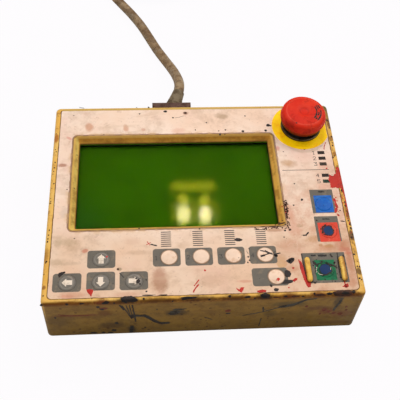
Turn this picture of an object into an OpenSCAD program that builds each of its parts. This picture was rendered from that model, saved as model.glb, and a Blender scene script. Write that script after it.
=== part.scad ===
// Handheld teach pendant: a deep moulded case with a film keypad, a liquid crystal screen,
// a mushroom stop button, and a long lead that ends in a round plug.
// The case lies on its back cover at z = 0 with its face up, and the lead leaves at +Y.

/* [Case] */
// Width of the face, left to right
case_w = 240; // [230:0.5:260]
// Depth of the face, front to back
case_d = 188; // [184:0.5:205]
// Height of the case
case_h = 56; // [52:0.5:70]
// How much wider each side is at the bottom than at the face
draft_x = 2.4; // [0.5:0.1:3]
// How much deeper the front and back are at the bottom than at the face
draft_y = 0.6; // [0.2:0.1:2]
// Radius of the four upright corners
corner_r = 4; // [3.5:0.1:6]
// Rounding where the face meets the walls
edge_r = 3; // [1:0.1:3.2]
// Thickness of the side walls
wall = 3.5; // [3:0.1:4]
// Thickness of the face
face_t = 4; // [3.6:0.1:4.6]
// Radius of the posts that take screws
post_r = 3.5; // [3:0.1:4]

/* [Back cover] */
// Thickness of the back cover
cover_t = 3; // [2:0.1:4]
// Width of the step that the cover closes on
cover_step = 1.7; // [1.2:0.1:2]
// Thickness of the cover's rubber seal
seal_t = 0.8; // [0.5:0.1:1.5]
// Distance of the corner screws from the walls' outer faces
cover_screw_in = 8.5; // [8:0.1:10]
// Shank radius of the cover screws
cover_screw_r = 2; // [1.5:0.1:2.5]

/* [Keypad] */
// Yellow rim left beside the film at each side
rim_side = 4.8; // [4.5:0.1:8]
// Rim left in front of the film
rim_front = 4; // [3.8:0.1:8]
// Rim left behind the film
rim_back = 2.8; // [2.6:0.1:8]
// Corner radius of the film
film_r = 3; // [1:0.1:6]
// Thickness of the printed film
film_t = 0.5; // [0.3:0.05:0.7]
// Thickness of the spacer under the film
spacer_t = 1.2; // [1.1:0.05:1.4]
// Thickness of the circuit sheet under the spacer
circuit_t = 0.3; // [0.2:0.05:0.4]
// Radius of an embossed key dome
dome_r = 6.5; // [5:0.1:7]
// Height of an embossed key dome above the film
dome_h = 0.7; // [0.4:0.05:1.2]
// How far a key goes down
key_travel = 0.4; // [0.2:0.05:0.45]
// Distance from one key to the next
key_pitch = 24.5; // [23:0.1:25]
// Distance of the upper and lower arrow keys from the left side
arrow_in = 43; // [40:0.1:45]
// Distance of the lower key row from the front
row_in = 16.8; // [15.5:0.1:18]
// Distance from the upper key row to the lower one
row_drop = 19; // [17:0.1:20]
// Place of the first function key's dome, from the centre line
fkey_x = -26; // [-28:0.1:-24]
// How far the enter key's dome stands to the right of the last function key's
enter_shift = 6.3; // [0:0.1:8]

/* [Run keys] */
// Distance of the reset and pause keys from the right side
run_in = 20; // [17:0.1:22]
// Place of the reset key, from the centre line
reset_y = -13; // [-16:0.1:-8]
// Distance from the reset key to the pause key
pause_drop = 25.5; // [22:0.1:28]
// Distance of the start key from the right side
start_side = 28; // [27:0.1:29]
// Distance of the start key from the front
start_front = 21.5; // [20:0.1:24]
// Distance between the start key's two guard rails
rail_gap = 26.5; // [24:0.1:28]
// Width of a guard rail
rail_w = 4; // [3:0.1:5]
// Length of a guard rail
rail_len = 20.5; // [16:0.1:22]
// Height of a guard rail above the film
rail_h = 3; // [1.5:0.1:5]

/* [Lamps] */
// Number of lamps in the upper group
upper_lamps = 3; // [1:1:3]
// Number of lamps in the lower group
lower_lamps = 2; // [1:1:3]
// Distance of the lamps from the right side
lamp_in = 13.8; // [13:0.1:15]
// Distance of the first lamp of the upper group from the back
upper_lamp_in = 54.7; // [54:0.1:56]
// Distance of the first lamp of the lower group from the back
lower_lamp_in = 78.5; // [77:0.1:80]
// Distance from one lamp to the next
lamp_pitch = 6; // [4.5:0.1:6.5]
// Width of a lamp's window
lamp_w = 5.8; // [4:0.1:6]
// Depth of a lamp's window
lamp_d = 3.2; // [2:0.1:4]

/* [Screen] */
// Distance of the screen opening from the left side
screen_left = 16.8; // [16:0.1:24]
// Distance of the screen opening from the right side
screen_right = 52.8; // [52.6:0.1:60]
// Distance of the screen opening from the front
screen_front = 61.45; // [61:0.05:68]
// Distance of the screen opening from the back
screen_back = 32.45; // [31.5:0.05:38]
// Flat lip round the opening
lip_w = 1.2; // [0.8:0.1:2]
// How far the sloping walls run in
slope_w = 3.6; // [2:0.1:5]
// Depth of the window below the face
screen_depth = 5.5; // [4.5:0.1:6]
// Thickness of the clear window
window_t = 1.5; // [1:0.1:2.5]
// How far the window reaches under the opening's edge
window_lap = 3; // [2:0.1:3.5]
// Thickness of the foam between window and display
foam_t = 1.5; // [1:0.1:2]
// Height of the display's steel frame
lcd_h = 7.5; // [6.5:0.1:9]
// Thickness of the circuit boards
board_t = 1.6; // [1:0.1:2]

/* [Stop button] */
// Distance of the stop button from the right side
stop_side = 27.5; // [26.8:0.1:27.7]
// Distance of the stop button from the back
stop_back = 25.8; // [25:0.1:27]
// Largest radius of the mushroom head
head_r = 19.5; // [18.2:0.1:21]
// Height of the mushroom head
head_h = 13.8; // [13:0.1:16]
// How far the head stands above the film
head_lift = 7.3; // [7:0.1:9]
// How far the head goes down
stop_travel = 4; // [2:0.1:4.2]
// Radius of the metal collar
collar_r = 17.4; // [16.8:0.1:18]
// Radius of the barrel that goes through the face
barrel_r = 11; // [10.4:0.1:11.2]
// Radius of the legend disc
legend_r = 25; // [20:0.1:25.2]
// Thickness of the legend disc
legend_t = 0.25; // [0.1:0.05:0.4]

/* [Main board] */
// Gap between the main board's parts and the stop button's contacts above them
board_gap = 3.4; // [1:0.1:5]

/* [Lead] */
// Diameter of the lead
lead_d = 9.5; // [9:0.1:10]
// Place of the lead's gland, left to right
gland_x = -19; // [-22:0.1:-16]
// Height of the gland's centre
gland_z = 38; // [37:0.1:39]
// Width of the gland block
gland_w = 34.5; // [30:0.1:38]
// Height of the gland block
gland_h = 24; // [20:0.1:28]
// How far the gland block stands out
gland_t = 9.6; // [8:0.1:10]
// Length of the rubber boot
boot_len = 24; // [20:0.1:26]
// How far the boot leans towards +X, in degrees
boot_lean = 18; // [14:0.5:20]
// Coil diameter at the middle of its turns
coil_d = 114; // [112:0.5:116]
// Outer radius of the plug's coupling ring
ring_r = 14; // [13:0.1:14]

/* [Hidden] */
$fn = 64;

eps = 0.01;            // how thin a slice is that only shapes a hull
cut = 1;               // how far a cut runs past the face that it opens
fit = 0.1;             // clearance of a guided or turning piece
key_gap = 0.2;         // clearance round a key
seat_gap = 0.3;        // clearance round a fixed piece

// Heights of the keypad's layers
film_top = case_h - 0.05;
film_z = film_top - film_t;
spacer_z = film_z - spacer_t;
circuit_z = spacer_z - circuit_t;
face_under = case_h - face_t;

// Outline of the keypad
film_w = case_w - 2 * rim_side;
film_d = case_d - rim_front - rim_back;
film_y = (rim_front - rim_back) / 2;
layer_in = 2;          // how far the lower layers stay inside the film's edge

// The key's flange, which the film holds down
flange_r = dome_r + 0.7;
flange_t = 0.3;
flange_drop = 0.05;
snap_r = 5;
snap_h = 0.35;

// Places of the keys
arrow_x = arrow_in - case_w / 2;
row_low = row_in - case_d / 2;
row_y = row_low + row_drop;
run_x = case_w / 2 - run_in;
start_x = case_w / 2 - start_side;
start_y = start_front - case_d / 2;
up_at = [arrow_x, row_y];
left_at = [arrow_x - key_pitch, row_low];
down_at = [arrow_x, row_low];
right_at = [arrow_x + key_pitch, row_low];
f1_at = [fkey_x, row_y];
f2_at = [fkey_x + key_pitch, row_y];
f3_at = [fkey_x + 2 * key_pitch, row_y];
f4_at = [fkey_x + 3 * key_pitch, row_y];
enter_at = [fkey_x + 3 * key_pitch + enter_shift, row_low];
reset_at = [run_x, reset_y];
pause_at = [run_x, reset_y - pause_drop];
start_at = [start_x, start_y];
key_places = [up_at, left_at, down_at, right_at, f1_at, f2_at, f3_at, f4_at,
    enter_at, reset_at, pause_at, start_at];
rail_places = [[start_x - rail_gap / 2, start_y], [start_x + rail_gap / 2, start_y]];

// Places of the lamps
lamp_x = case_w / 2 - lamp_in;
upper_lamp_y = case_d / 2 - upper_lamp_in;
lower_lamp_y = case_d / 2 - lower_lamp_in;
lamp_places = concat(
    [for (i = [0 : upper_lamps - 1]) [lamp_x, upper_lamp_y - i * lamp_pitch]],
    [for (i = [0 : lower_lamps - 1]) [lamp_x, lower_lamp_y - i * lamp_pitch]]);

// The screen opening and the stack behind it
screen_w = case_w - screen_left - screen_right;
screen_d = case_d - screen_front - screen_back;
screen_x = (screen_left - screen_right) / 2;
screen_y = (screen_front - screen_back) / 2;
window_z = case_h - screen_depth - window_t;
pane_w = screen_w - 2 * (lip_w + slope_w);
pane_d = screen_d - 2 * (lip_w + slope_w);
window_w = pane_w + 2 * window_lap;
window_d = pane_d + 2 * window_lap;
frame_wall = 3;        // width of the rib round the window's pocket
foam_z = window_z - foam_t;
lcd_z = foam_z - lcd_h;
lcd_w = window_w + 5;
lcd_d = window_d + 9;
lcd_sheet = 0.8;       // thickness of the frame's sheet steel
glass_w = lcd_w - 2 * lcd_sheet - 2 * seat_gap;
glass_d = lcd_d - 2 * lcd_sheet - 2 * seat_gap;
glass_t = 2.2;
backlight_t = 3;
lcd_board_z = lcd_z - board_t;
lcd_ear = 10;          // how far the display's board stands past its frame, front and back
lcd_screw_x = lcd_w / 2 - 8;
lcd_screw_y = lcd_d / 2 + lcd_ear / 2;
small_screw_r = 1.5;
small_head_h = 1.8;
lcd_bite = 6;          // how deep a screw goes into its post
board_bite = 7;
cover_bite = 12;
bite_spare = 1;        // how much deeper the post's hole is than the screw

// The stop button, from the face up and down
stop_x = case_w / 2 - stop_side;
stop_y = case_d / 2 - stop_back;
legend_z = film_top;
collar_z = legend_z + legend_t;
collar_h = 2.4;
collar_wall = 1.8;
neck_r = 13.5;
neck_in = 1.3;         // how far the neck reaches into the head
head_z = film_top + head_lift;
neck_top = head_z + neck_in;
hub_gap = 0.4;         // what is left between head and neck when the head is down
hub_z = neck_top + stop_travel + hub_gap;
hub_h = 3.5;
stem_r = 4;
chamber_r = 8.5;
chamber_deep = 6;
chamber_z = face_under - chamber_deep;
barrel_deep = 17;
barrel_z = face_under - barrel_deep;
barrel_edge = 0.6;     // chamfer on the barrel's lower end
neck_edge = 0.5;       // chamfer on the neck's top
spring_wire = 0.7;
spring_turns = 5;
plate_drop = 4;
plate_t = 2;
plate_z = neck_top - plate_drop;
nut_h = 5;
nut_flat = 3;          // how far the nut's corners stand outside the barrel
foot_r = 6;
foot_t = 1.5;
block_h = 8;
block_z = barrel_z - block_h;

// The main board and its posts
board_top = block_z - board_gap;
board_z = board_top - board_t;
board_w = case_w - 2 * wall - 3;
board_d = case_d - 2 * wall - 23;
main_post_x = board_w / 2 - 4.5;
main_post_y = board_d / 2 - 4.5;
short_post_y = stop_y - 20;
chip_w = 19;
chip_h = 3;
chip_step = 26;
memory_w = 24;
memory_d = 9;
memory_step = 30;
power_w = 30;
power_d = 14;
power_h = 9;
tail_w = 20;
tail_y = screen_y - lcd_d / 2 - lcd_ear - 6;
tail_x = -8;

// The back cover
cover_w = case_w + 2 * draft_x - 2 * (wall - cover_step);
cover_d = case_d + 2 * draft_y - 2 * (wall - cover_step);
cover_seat = cover_t + seal_t;
cover_post_r = 5.5;
cover_screw_x = case_w / 2 - cover_screw_in;
cover_screw_y = case_d / 2 - cover_screw_in;
cover_places = [for (x = [-1, 0, 1], y = [-1, 1]) [x * cover_screw_x, y * cover_screw_y]];

// The lead: its route from the gland to the coil, then the coil, its tail and the plug
lead_r = lead_d / 2;
back_y = case_d / 2;
gland_y = back_y + draft_y * flare(gland_z - gland_h / 2);
gland_face = back_y + gland_t;
lead_start = back_y - 2;
boot_root = [gland_x, gland_face, gland_z];
lead_rise = lead_r;
lead_route = [
    [-18.2, 106, 38.1], [-14.8, 117, 38.2], [-11.7, 127, 37.8], [-10.3, 138, 35], [-10.5, 149, 30],
    [-11.7, 161, 23.5], [-13.6, 174, 16.5], [-17.2, 188, 10.5], [-22.9, 203, 6.5],
    [-30.1, 219, lead_rise], [-38, 237, lead_rise], [-46, 255, lead_rise], [-56, 273, lead_rise],
    [-67, 290, lead_rise], [-78, 307, lead_rise], [-88, 325, lead_rise], [-95, 343, lead_rise],
    [-99.5, 361, lead_rise], [-101, 380, lead_rise]
];
coil_at = [-30, 380];
coil_columns = 4;
coil_layers = 3;
coil_half = coil_columns * lead_d / 2;
coil_h = coil_layers * lead_d;
on_coil = coil_h + lead_r;
plug_z = coil_h + ring_r;
tail_route = [
    [-42.6, 7, coil_h - 3], [-40.8, 24, on_coil - 0.4], [-33, 40, on_coil], [-18, 51, on_coil],
    [0, 56, on_coil], [14, 54, on_coil], [26, 47, on_coil], [35, 37, on_coil], [39, 24, on_coil],
    [39, 10, on_coil + 1], [35, -3, on_coil + 3], [26, -14, on_coil + 5.5], [14, -21, on_coil + 8],
    [0, -23, plug_z], [-14, -23, plug_z]
];
plug_at = [coil_at[0] - 14, coil_at[1] - 23, plug_z];
plug_boot_len = 22;
shell_r = 11;
shell_len = 40;
ring_len = 18;
barrel_len = 18;
barrel_out = shell_r - 1;
barrel_in = shell_r - 2.4;
insert_z = shell_len - barrel_len + 4;
insert_len = barrel_len - 5;
contacts = 9;
contact_r = 1;
contact_ring_r = 5.2;

// Points of an arc about a centre
function arc(cx, cy, r, a0, a1, n) =
    [for (i = [0 : n]) let (a = a0 + (a1 - a0) * i / n) [cx + r * cos(a), cy + r * sin(a)]];

// A rounded rectangle about the origin
function rounded(w, d, r, n = 6) = concat(
    arc(w / 2 - r, d / 2 - r, r, 0, 90, n), arc(r - w / 2, d / 2 - r, r, 90, 180, n),
    arc(r - w / 2, r - d / 2, r, 180, 270, n), arc(w / 2 - r, r - d / 2, r, 270, 360, n));

// How much of the draft shows at a height
function flare(z) = 1 - z / case_h;

// Vectors for the sweep
function unit(v) = v / norm(v);
function heading(p, i) = unit(p[min(i + 1, len(p) - 1)] - p[max(i - 1, 0)]);
function ring_at(p, i, r, sides) =
    let (t = heading(p, i), s = unit(cross(t, [0, 0, 1])), u = cross(s, t))
    [for (k = [0 : sides - 1]) p[i] + r * (cos(360 * k / sides) * s + sin(360 * k / sides) * u)];

// A tube of one radius along a list of points
module sweep(p, r, sides = 10) {
    n = len(p);
    points = [for (i = [0 : n - 1]) each ring_at(p, i, r, sides)];
    walls = [for (i = [0 : n - 2], k = [0 : sides - 1])
        let (a = i * sides + k, b = i * sides + (k + 1) % sides) [a, b, b + sides, a + sides]];
    first = [for (k = [0 : sides - 1]) sides - 1 - k];
    last = [for (k = [0 : sides - 1]) (n - 1) * sides + k];
    polyhedron(points, concat([first, last], walls), convexity = 8);
}

module plate(w, d, r, t) {
    linear_extrude(t) polygon(rounded(w, d, r));
}

// A thin slice of the drafted case, drawn in from its outer face
module case_slice(inset, z) {
    translate([0, 0, z])
        plate(case_w + 2 * draft_x * flare(z) - 2 * inset, case_d + 2 * draft_y * flare(z) - 2 * inset,
            max(corner_r - inset, 0.8), eps);
}

module case_block() {
    steps = 5;
    hull() {
        case_slice(0, 0);
        for (i = [0 : steps])
            let (a = 90 * i / steps)
                case_slice(edge_r * (1 - cos(a)), case_h - edge_r * (1 - sin(a)) - eps);
    }
}

module case_cavity() {
    hull() {
        case_slice(wall, -cut);
        case_slice(wall, face_under - eps);
    }
}

module at_screen(z) {
    translate([screen_x, screen_y, z]) children();
}

module at_stop(z) {
    translate([stop_x, stop_y, z]) children();
}

module at_each(places, z) {
    for (p = places) translate([p[0], p[1], z]) children();
}

// Area that the keypad's layers fill, less the block that frames the screen
module keypad_area(inset) {
    difference() {
        translate([0, film_y]) polygon(rounded(film_w - 2 * inset, film_d - 2 * inset, film_r));
        translate([screen_x, screen_y])
            polygon(rounded(screen_w + 2 * inset, screen_d + 2 * inset, 3));
    }
}

// Holes for the lamps and the stop button, through the face or a layer on it
module face_holes(z, t, stop_clear) {
    at_each(lamp_places, z - cut)
        translate([-lamp_w / 2 - fit, -lamp_d / 2 - fit, 0])
            cube([lamp_w + 2 * fit, lamp_d + 2 * fit, t + 2 * cut]);
    at_stop(z - cut) cylinder(r = stop_clear, h = t + 2 * cut);
}

// Holes that a layer of the keypad needs: those of the face, and two for the guard rails
module layer_holes(z, t) {
    face_holes(z, t, barrel_r + seat_gap);
    at_each(rail_places, z - cut) plate(rail_w + 2 * fit, rail_len + 2 * fit, rail_w / 2, t + 2 * cut);
}

module screen_cut() {
    hull() {
        at_screen(case_h) plate(screen_w - 2 * lip_w + 2 * cut * slope_w / screen_depth,
            screen_d - 2 * lip_w + 2 * cut * slope_w / screen_depth, 2, cut);
        at_screen(case_h) plate(screen_w - 2 * lip_w, screen_d - 2 * lip_w, 2, eps);
        at_screen(case_h - screen_depth) plate(pane_w, pane_d, 1.2, eps);
    }
    at_screen(foam_z - cut) plate(pane_w, pane_d, 1.2, screen_depth + window_t + foam_t);
}

// Posts, ribs and the window's frame under the face
module inner_works() {
    at_screen(foam_z)
        plate(window_w + 2 * frame_wall, window_d + 2 * frame_wall, 2, face_under - foam_z + eps);
    at_each(cover_places, cover_seat) cylinder(r = cover_post_r, h = face_under - cover_seat + eps);
    for (x = [-1, 0, 1], y = [-1, 1])
        translate([x * cover_screw_x, y * cover_screw_y, cover_seat]) {
            post_rib([0, y]);
            if (x != 0) post_rib([x, 0]);
        }
    for (x = [-1, 1], y = [-1, 1])
        translate([screen_x + x * lcd_screw_x, screen_y + y * lcd_screw_y, lcd_z])
            cylinder(r = post_r, h = face_under - lcd_z + eps);
    at_each(main_posts(), board_top) cylinder(r = post_r, h = face_under - board_top + eps);
}

// A web from a cover post to the wall beside it
module post_rib(way) {
    reach = cover_screw_in - 1;
    web = 2;
    rotate([0, 0, atan2(way[1], way[0])]) translate([0, -web / 2, 0])
        cube([reach, web, face_under - cover_seat + eps]);
}

function main_posts() = [[-main_post_x, -main_post_y], [-main_post_x, main_post_y],
    [main_post_x, -main_post_y], [main_post_x, short_post_y]];

module housing() {
    color("goldenrod") {
        difference() {
            union() {
                difference() {
                    case_block();
                    case_cavity();
                }
                inner_works();
            }
            translate([0, 0, circuit_z]) linear_extrude(case_h) keypad_area(0);
            face_holes(face_under, face_t, barrel_r + fit);
            screen_cut();
            at_screen(foam_z - cut)
                plate(window_w + 2 * fit, window_d + 2 * fit, 1.2, foam_t + window_t + cut);
            translate([0, 0, -cut]) plate(cover_w, cover_d, 2.5, cover_seat + cut);
            at_each(cover_places, cover_seat - cut)
                cylinder(r = cover_screw_r + 0.05, h = cover_bite + bite_spare + cut);
            for (x = [-1, 1], y = [-1, 1])
                translate([screen_x + x * lcd_screw_x, screen_y + y * lcd_screw_y, lcd_z - cut])
                    cylinder(r = small_screw_r + 0.05, h = lcd_bite + bite_spare + cut);
            at_each(main_posts(), board_top - cut)
                cylinder(r = small_screw_r + 0.05, h = board_bite + bite_spare + cut);
            translate([tail_x - tail_w / 2 - 1, tail_y - 0.8, face_under - cut])
                cube([tail_w + 2, 1.6, face_t]);
            translate([gland_x, back_y - 2 * wall, gland_z]) rotate([-90, 0, 0])
                cylinder(r = 7, h = 4 * wall);
            for (x = [-1, 1])
                translate([gland_x + x * (gland_w / 2 - 4.5), back_y - 2 * wall, gland_z])
                    rotate([-90, 0, 0]) cylinder(r = small_screw_r + 0.05, h = 4 * wall);
        }
    }
}

// Two rails that keep a hand off the start key, standing on the floor of the keypad's recess
module guard_rails() {
    rail_t = film_top + rail_h - circuit_z;
    end_r = rail_w / 2;
    soft = 1.4;
    color("goldenrod") at_each(rail_places, circuit_z) hull() for (y = [-1, 1])
        translate([0, y * (rail_len / 2 - end_r), 0]) rotate_extrude($fn = 24)
            polygon(concat([[0, 0], [end_r, 0]],
                arc(end_r - soft, rail_t - soft, soft, 0, 90, 3), [[0, rail_t]]));
}

module overlay_film() {
    color("antiquewhite") difference() {
        translate([0, 0, film_z]) linear_extrude(film_t) film_area(0.15);
        at_each(key_places, film_z - cut) cylinder(r = dome_r + key_gap, h = film_t + 2 * cut);
        layer_holes(film_z, film_t);
    }
}

// The film's own outline, a hair inside its recess
module film_area(gap) {
    difference() {
        translate([0, film_y]) polygon(rounded(film_w - 2 * gap, film_d - 2 * gap, film_r - gap));
        translate([screen_x, screen_y]) polygon(rounded(screen_w + 2 * gap, screen_d + 2 * gap, 3 + gap));
    }
}

module keypad_spacer() {
    color("whitesmoke") difference() {
        translate([0, 0, spacer_z]) linear_extrude(spacer_t) keypad_area(layer_in);
        at_each(key_places, spacer_z - cut) cylinder(r = flange_r + seat_gap, h = spacer_t + 2 * cut);
        layer_holes(spacer_z, spacer_t);
    }
}

module keypad_circuit() {
    color("lightsteelblue") difference() {
        union() {
            translate([0, 0, circuit_z]) linear_extrude(circuit_t) keypad_area(layer_in);
            translate([tail_x - tail_w / 2, tail_y - circuit_t / 2, board_top + 2])
                cube([tail_w, circuit_t, circuit_z + circuit_t / 2 - board_top - 2]);
        }
        layer_holes(circuit_z, circuit_t);
    }
}

module snap_domes() {
    bow_r = (snap_r * snap_r + snap_h * snap_h) / (2 * snap_h);
    sweep_a = asin(snap_r / bow_r);
    color("silver") at_each(key_places, spacer_z)
        rotate_extrude()
            polygon(concat([[0, 0]], arc(0, snap_h - bow_r, bow_r, 90 - sweep_a, 90, 6)));
}

// An embossed key dome with the flange that keeps it under the film
module key(at, paint) {
    shoulder = 0.5;
    crown = dome_r - shoulder;
    rise = dome_h - 0.3;
    bow_r = (crown * crown + rise * rise) / (2 * rise);
    top = film_t + dome_h;
    color(paint) translate([at[0], at[1], film_z]) rotate_extrude()
        polygon(concat(
            [[0, -flange_drop - flange_t], [flange_r, -flange_drop - flange_t],
                [flange_r, -flange_drop], [dome_r, -flange_drop], [dome_r, film_t]],
            arc(0, top - bow_r, bow_r, 90 - asin(crown / bow_r), 90, 8)));
}

module key_up() { key(up_at, "gray"); }
module key_left() { key(left_at, "gray"); }
module key_down() { key(down_at, "gray"); }
module key_right() { key(right_at, "gray"); }
module key_f1() { key(f1_at, "linen"); }
module key_f2() { key(f2_at, "linen"); }
module key_f3() { key(f3_at, "linen"); }
module key_f4() { key(f4_at, "linen"); }
module key_enter() { key(enter_at, "linen"); }
module key_reset() { key(reset_at, "royalblue"); }
module key_pause() { key(pause_at, "firebrick"); }
module key_start() { key(start_at, "seagreen"); }

// A yellow foil disc, trimmed where it would run over the film's edge
module legend_disc() {
    color("gold") difference() {
        intersection() {
            at_stop(legend_z) cylinder(r = legend_r, h = legend_t, $fn = 96);
            translate([0, film_y, legend_z - cut])
                plate(film_w - 1, film_d - 1, film_r, legend_t + 2 * cut);
        }
        at_stop(legend_z - cut) cylinder(r = barrel_r + seat_gap, h = legend_t + 2 * cut);
    }
}

module stop_collar() {
    color("silver") at_stop(collar_z) rotate_extrude()
        polygon([[collar_r - collar_wall, 0], [collar_r - 0.3, 0], [collar_r, 0.3],
            [collar_r, collar_h - 0.8], [collar_r - 0.8, collar_h], [collar_r - collar_wall, collar_h]]);
}

module stop_barrel() {
    flange = collar_r - collar_wall - fit;
    flange_top = collar_z + collar_h - 0.4;
    color("dimgray") at_stop(0) difference() {
        rotate_extrude() polygon([[0, barrel_z], [barrel_r - barrel_edge, barrel_z],
            [barrel_r, barrel_z + barrel_edge], [barrel_r, collar_z], [flange, collar_z],
            [flange, flange_top], [neck_r, flange_top + 0.2], [neck_r, neck_top - neck_edge],
            [neck_r - neck_edge, neck_top], [0, neck_top]]);
        translate([0, 0, chamber_z]) cylinder(r = chamber_r, h = neck_top);
        translate([0, 0, barrel_z - cut]) cylinder(r = stem_r + fit, h = chamber_z);
    }
}

module stop_nut() {
    color("dimgray") at_stop(face_under - nut_h) difference() {
        cylinder(r = barrel_r + nut_flat, h = nut_h, $fn = 6);
        translate([0, 0, -cut]) cylinder(r = barrel_r + 0.05, h = nut_h + 2 * cut);
    }
}

// The stem: a spigot that the head turns on, a guide plate over the spring, and a foot
module stop_plunger() {
    color("whitesmoke") at_stop(0) rotate_extrude() polygon([
        [0, barrel_z - seat_gap - foot_t], [foot_r, barrel_z - seat_gap - foot_t],
        [foot_r, barrel_z - seat_gap], [stem_r, barrel_z - seat_gap], [stem_r, plate_z],
        [chamber_r - fit, plate_z], [chamber_r - fit, plate_z + plate_t],
        [stem_r + 1.5, plate_z + plate_t], [stem_r + 1.5, hub_z - fit], [stem_r, hub_z - fit],
        [stem_r, hub_z + hub_h], [0, hub_z + hub_h]]);
}

module stop_spring() {
    coil_r = stem_r + 2;
    steps = 14;
    base = chamber_z + spring_wire;
    pitch = (plate_z - chamber_z - 2 * spring_wire - 0.2) / spring_turns;
    path = [for (i = [0 : spring_turns * steps])
        let (a = 360 * i / steps) [coil_r * cos(a), coil_r * sin(a), base + pitch * i / steps]];
    color("silver") at_stop(0) sweep(path, spring_wire, 6);
}

module stop_head() {
    bottom_r = head_r - 1.7;
    waist = head_h * 0.5;
    round_r = 4.2;
    bore_r = stem_r + fit / 2;
    color("crimson") at_stop(head_z) rotate_extrude($fn = 96) polygon(concat(
        [[bore_r, hub_z - head_z], [neck_r + 0.8, hub_z - head_z], [neck_r + 0.8, 0.6],
            [neck_r + 1.4, 0], [bottom_r - 0.8, 0], [bottom_r, 0.8], [head_r - 0.3, waist - 2]],
        arc(head_r - 0.6, waist, 0.6, -30, 30, 3),
        arc(head_r - 0.6 - round_r, head_h - 0.6 - round_r, round_r, 5, 84, 7),
        [[7, head_h - 0.05], [5, head_h - 0.4], [3, head_h - 1.1], [0, head_h - 1.4],
            [0, hub_z - head_z + hub_h + fit], [bore_r, hub_z - head_z + hub_h + fit]]));
}

module contact_block() {
    block_w = 26;
    block_d = 22;
    color("darkslategray") at_stop(block_z) difference() {
        translate([-block_w / 2, -block_d / 2, 0]) cube([block_w, block_d, barrel_z - block_z]);
        translate([0, 0, 1.2]) cylinder(r = foot_r + 0.8, h = barrel_z);
        for (x = [-1, 1], y = [-1, 1])
            translate([x * (block_w / 2 - 2.6), y * (block_d / 2 - 2.6), 3]) cylinder(r = 1.7, h = barrel_z);
    }
}

module window() {
    color("olivedrab", 0.5) at_screen(window_z) plate(window_w, window_d, 1, window_t);
}

module window_foam() {
    color("black") at_screen(foam_z) difference() {
        plate(window_w, window_d, 1, foam_t);
        translate([0, 0, -cut]) plate(pane_w + 2, pane_d + 2, 1, foam_t + 2 * cut);
    }
}

// A folded steel frame, open at the back, that holds the glass against its lip
module lcd_frame() {
    color("dimgray") at_screen(lcd_z) difference() {
        plate(lcd_w, lcd_d, 1, lcd_h);
        translate([0, 0, -cut])
            plate(lcd_w - 2 * lcd_sheet, lcd_d - 2 * lcd_sheet, 0.8, lcd_h - lcd_sheet + cut);
        translate([0, 0, -cut]) plate(pane_w, pane_d, 1, lcd_h + 2 * cut);
    }
}

module lcd_glass() {
    color("yellowgreen") at_screen(lcd_z + lcd_h - lcd_sheet - glass_t) plate(glass_w, glass_d, 0.5, glass_t);
}

module lcd_backlight() {
    color("white") at_screen(lcd_z + lcd_h - lcd_sheet - glass_t - backlight_t)
        plate(glass_w, glass_d, 0.5, backlight_t);
}

module lcd_board() {
    color("darkgreen") difference() {
        union() {
            at_screen(lcd_board_z) plate(lcd_w, lcd_d + 2 * lcd_ear, 1, board_t);
            at_screen(lcd_z) plate(glass_w - 20, glass_d - 20, 1,
                lcd_h - lcd_sheet - glass_t - backlight_t);
        }
        for (x = [-1, 1], y = [-1, 1])
            translate([screen_x + x * lcd_screw_x, screen_y + y * lcd_screw_y, lcd_board_z - cut])
                cylinder(r = small_screw_r + 0.2, h = board_t + 2 * cut);
    }
}

// A pan-head screw whose head is below and whose shank points up
module pan_screw(r, shank) {
    translate([0, 0, -small_head_h]) cylinder(r = 2 * r - 0.2, h = small_head_h);
    cylinder(r = r, h = shank);
}

module lcd_screws() {
    color("silver") for (x = [-1, 1], y = [-1, 1])
        translate([screen_x + x * lcd_screw_x, screen_y + y * lcd_screw_y, lcd_board_z])
            pan_screw(small_screw_r, board_t + lcd_bite);
}

module light_pipes() {
    color("darkslategray") at_each(lamp_places, board_top + 2.4)
        translate([-lamp_w / 2, -lamp_d / 2, 0])
            cube([lamp_w, lamp_d, film_top - board_top - 2.4]);
}

module lamps() {
    color("darkred") at_each(lamp_places, board_top)
        translate([-lamp_w / 2 + 0.4, -lamp_d / 2 + 0.4, 0]) cube([lamp_w - 0.8, lamp_d - 0.8, 2.3]);
}

module main_board() {
    color("darkgreen") difference() {
        translate([0, 0, board_z]) plate(board_w, board_d, 1.5, board_t);
        at_each(main_posts(), board_z - cut) cylinder(r = small_screw_r + 0.2, h = board_t + 2 * cut);
    }
}

module chips() {
    color("black") {
        for (i = [0 : 3])
            translate([(i - 3) * chip_step, -chip_w / 2, board_top]) cube([chip_w, chip_w, chip_h]);
        for (i = [0 : 2])
            translate([(i - 2) * memory_step - chip_w, chip_w, board_top])
                cube([memory_w, memory_d, chip_h]);
        translate([2 * chip_step, -chip_w, board_top]) cube([power_w, power_d, power_h]);
    }
}

module board_screws() {
    color("silver") at_each(main_posts(), board_z) pan_screw(small_screw_r, board_t + board_bite);
}

module tail_socket() {
    color("ivory") difference() {
        translate([tail_x - tail_w / 2 - 2.5, tail_y - 3, board_top]) cube([tail_w + 5, 6, 8]);
        translate([tail_x - tail_w / 2 - 0.5, tail_y - 0.4, board_top + 1.5]) cube([tail_w + 1, 0.8, 8]);
    }
}

module lead_header() {
    color("ivory") translate([gland_x - 12, back_y - 30, board_top]) cube([24, 10, 9]);
}

module harness() {
    color("darkslategray") sweep([[gland_x, lead_start, gland_z], [gland_x, back_y - 5, gland_z],
        [gland_x, back_y - 9, gland_z - 1.5], [gland_x, back_y - 13, gland_z - 5],
        [gland_x, back_y - 16, board_top + 6], [gland_x, back_y - 20 + eps, board_top + 5]], 3, 8);
}

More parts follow.
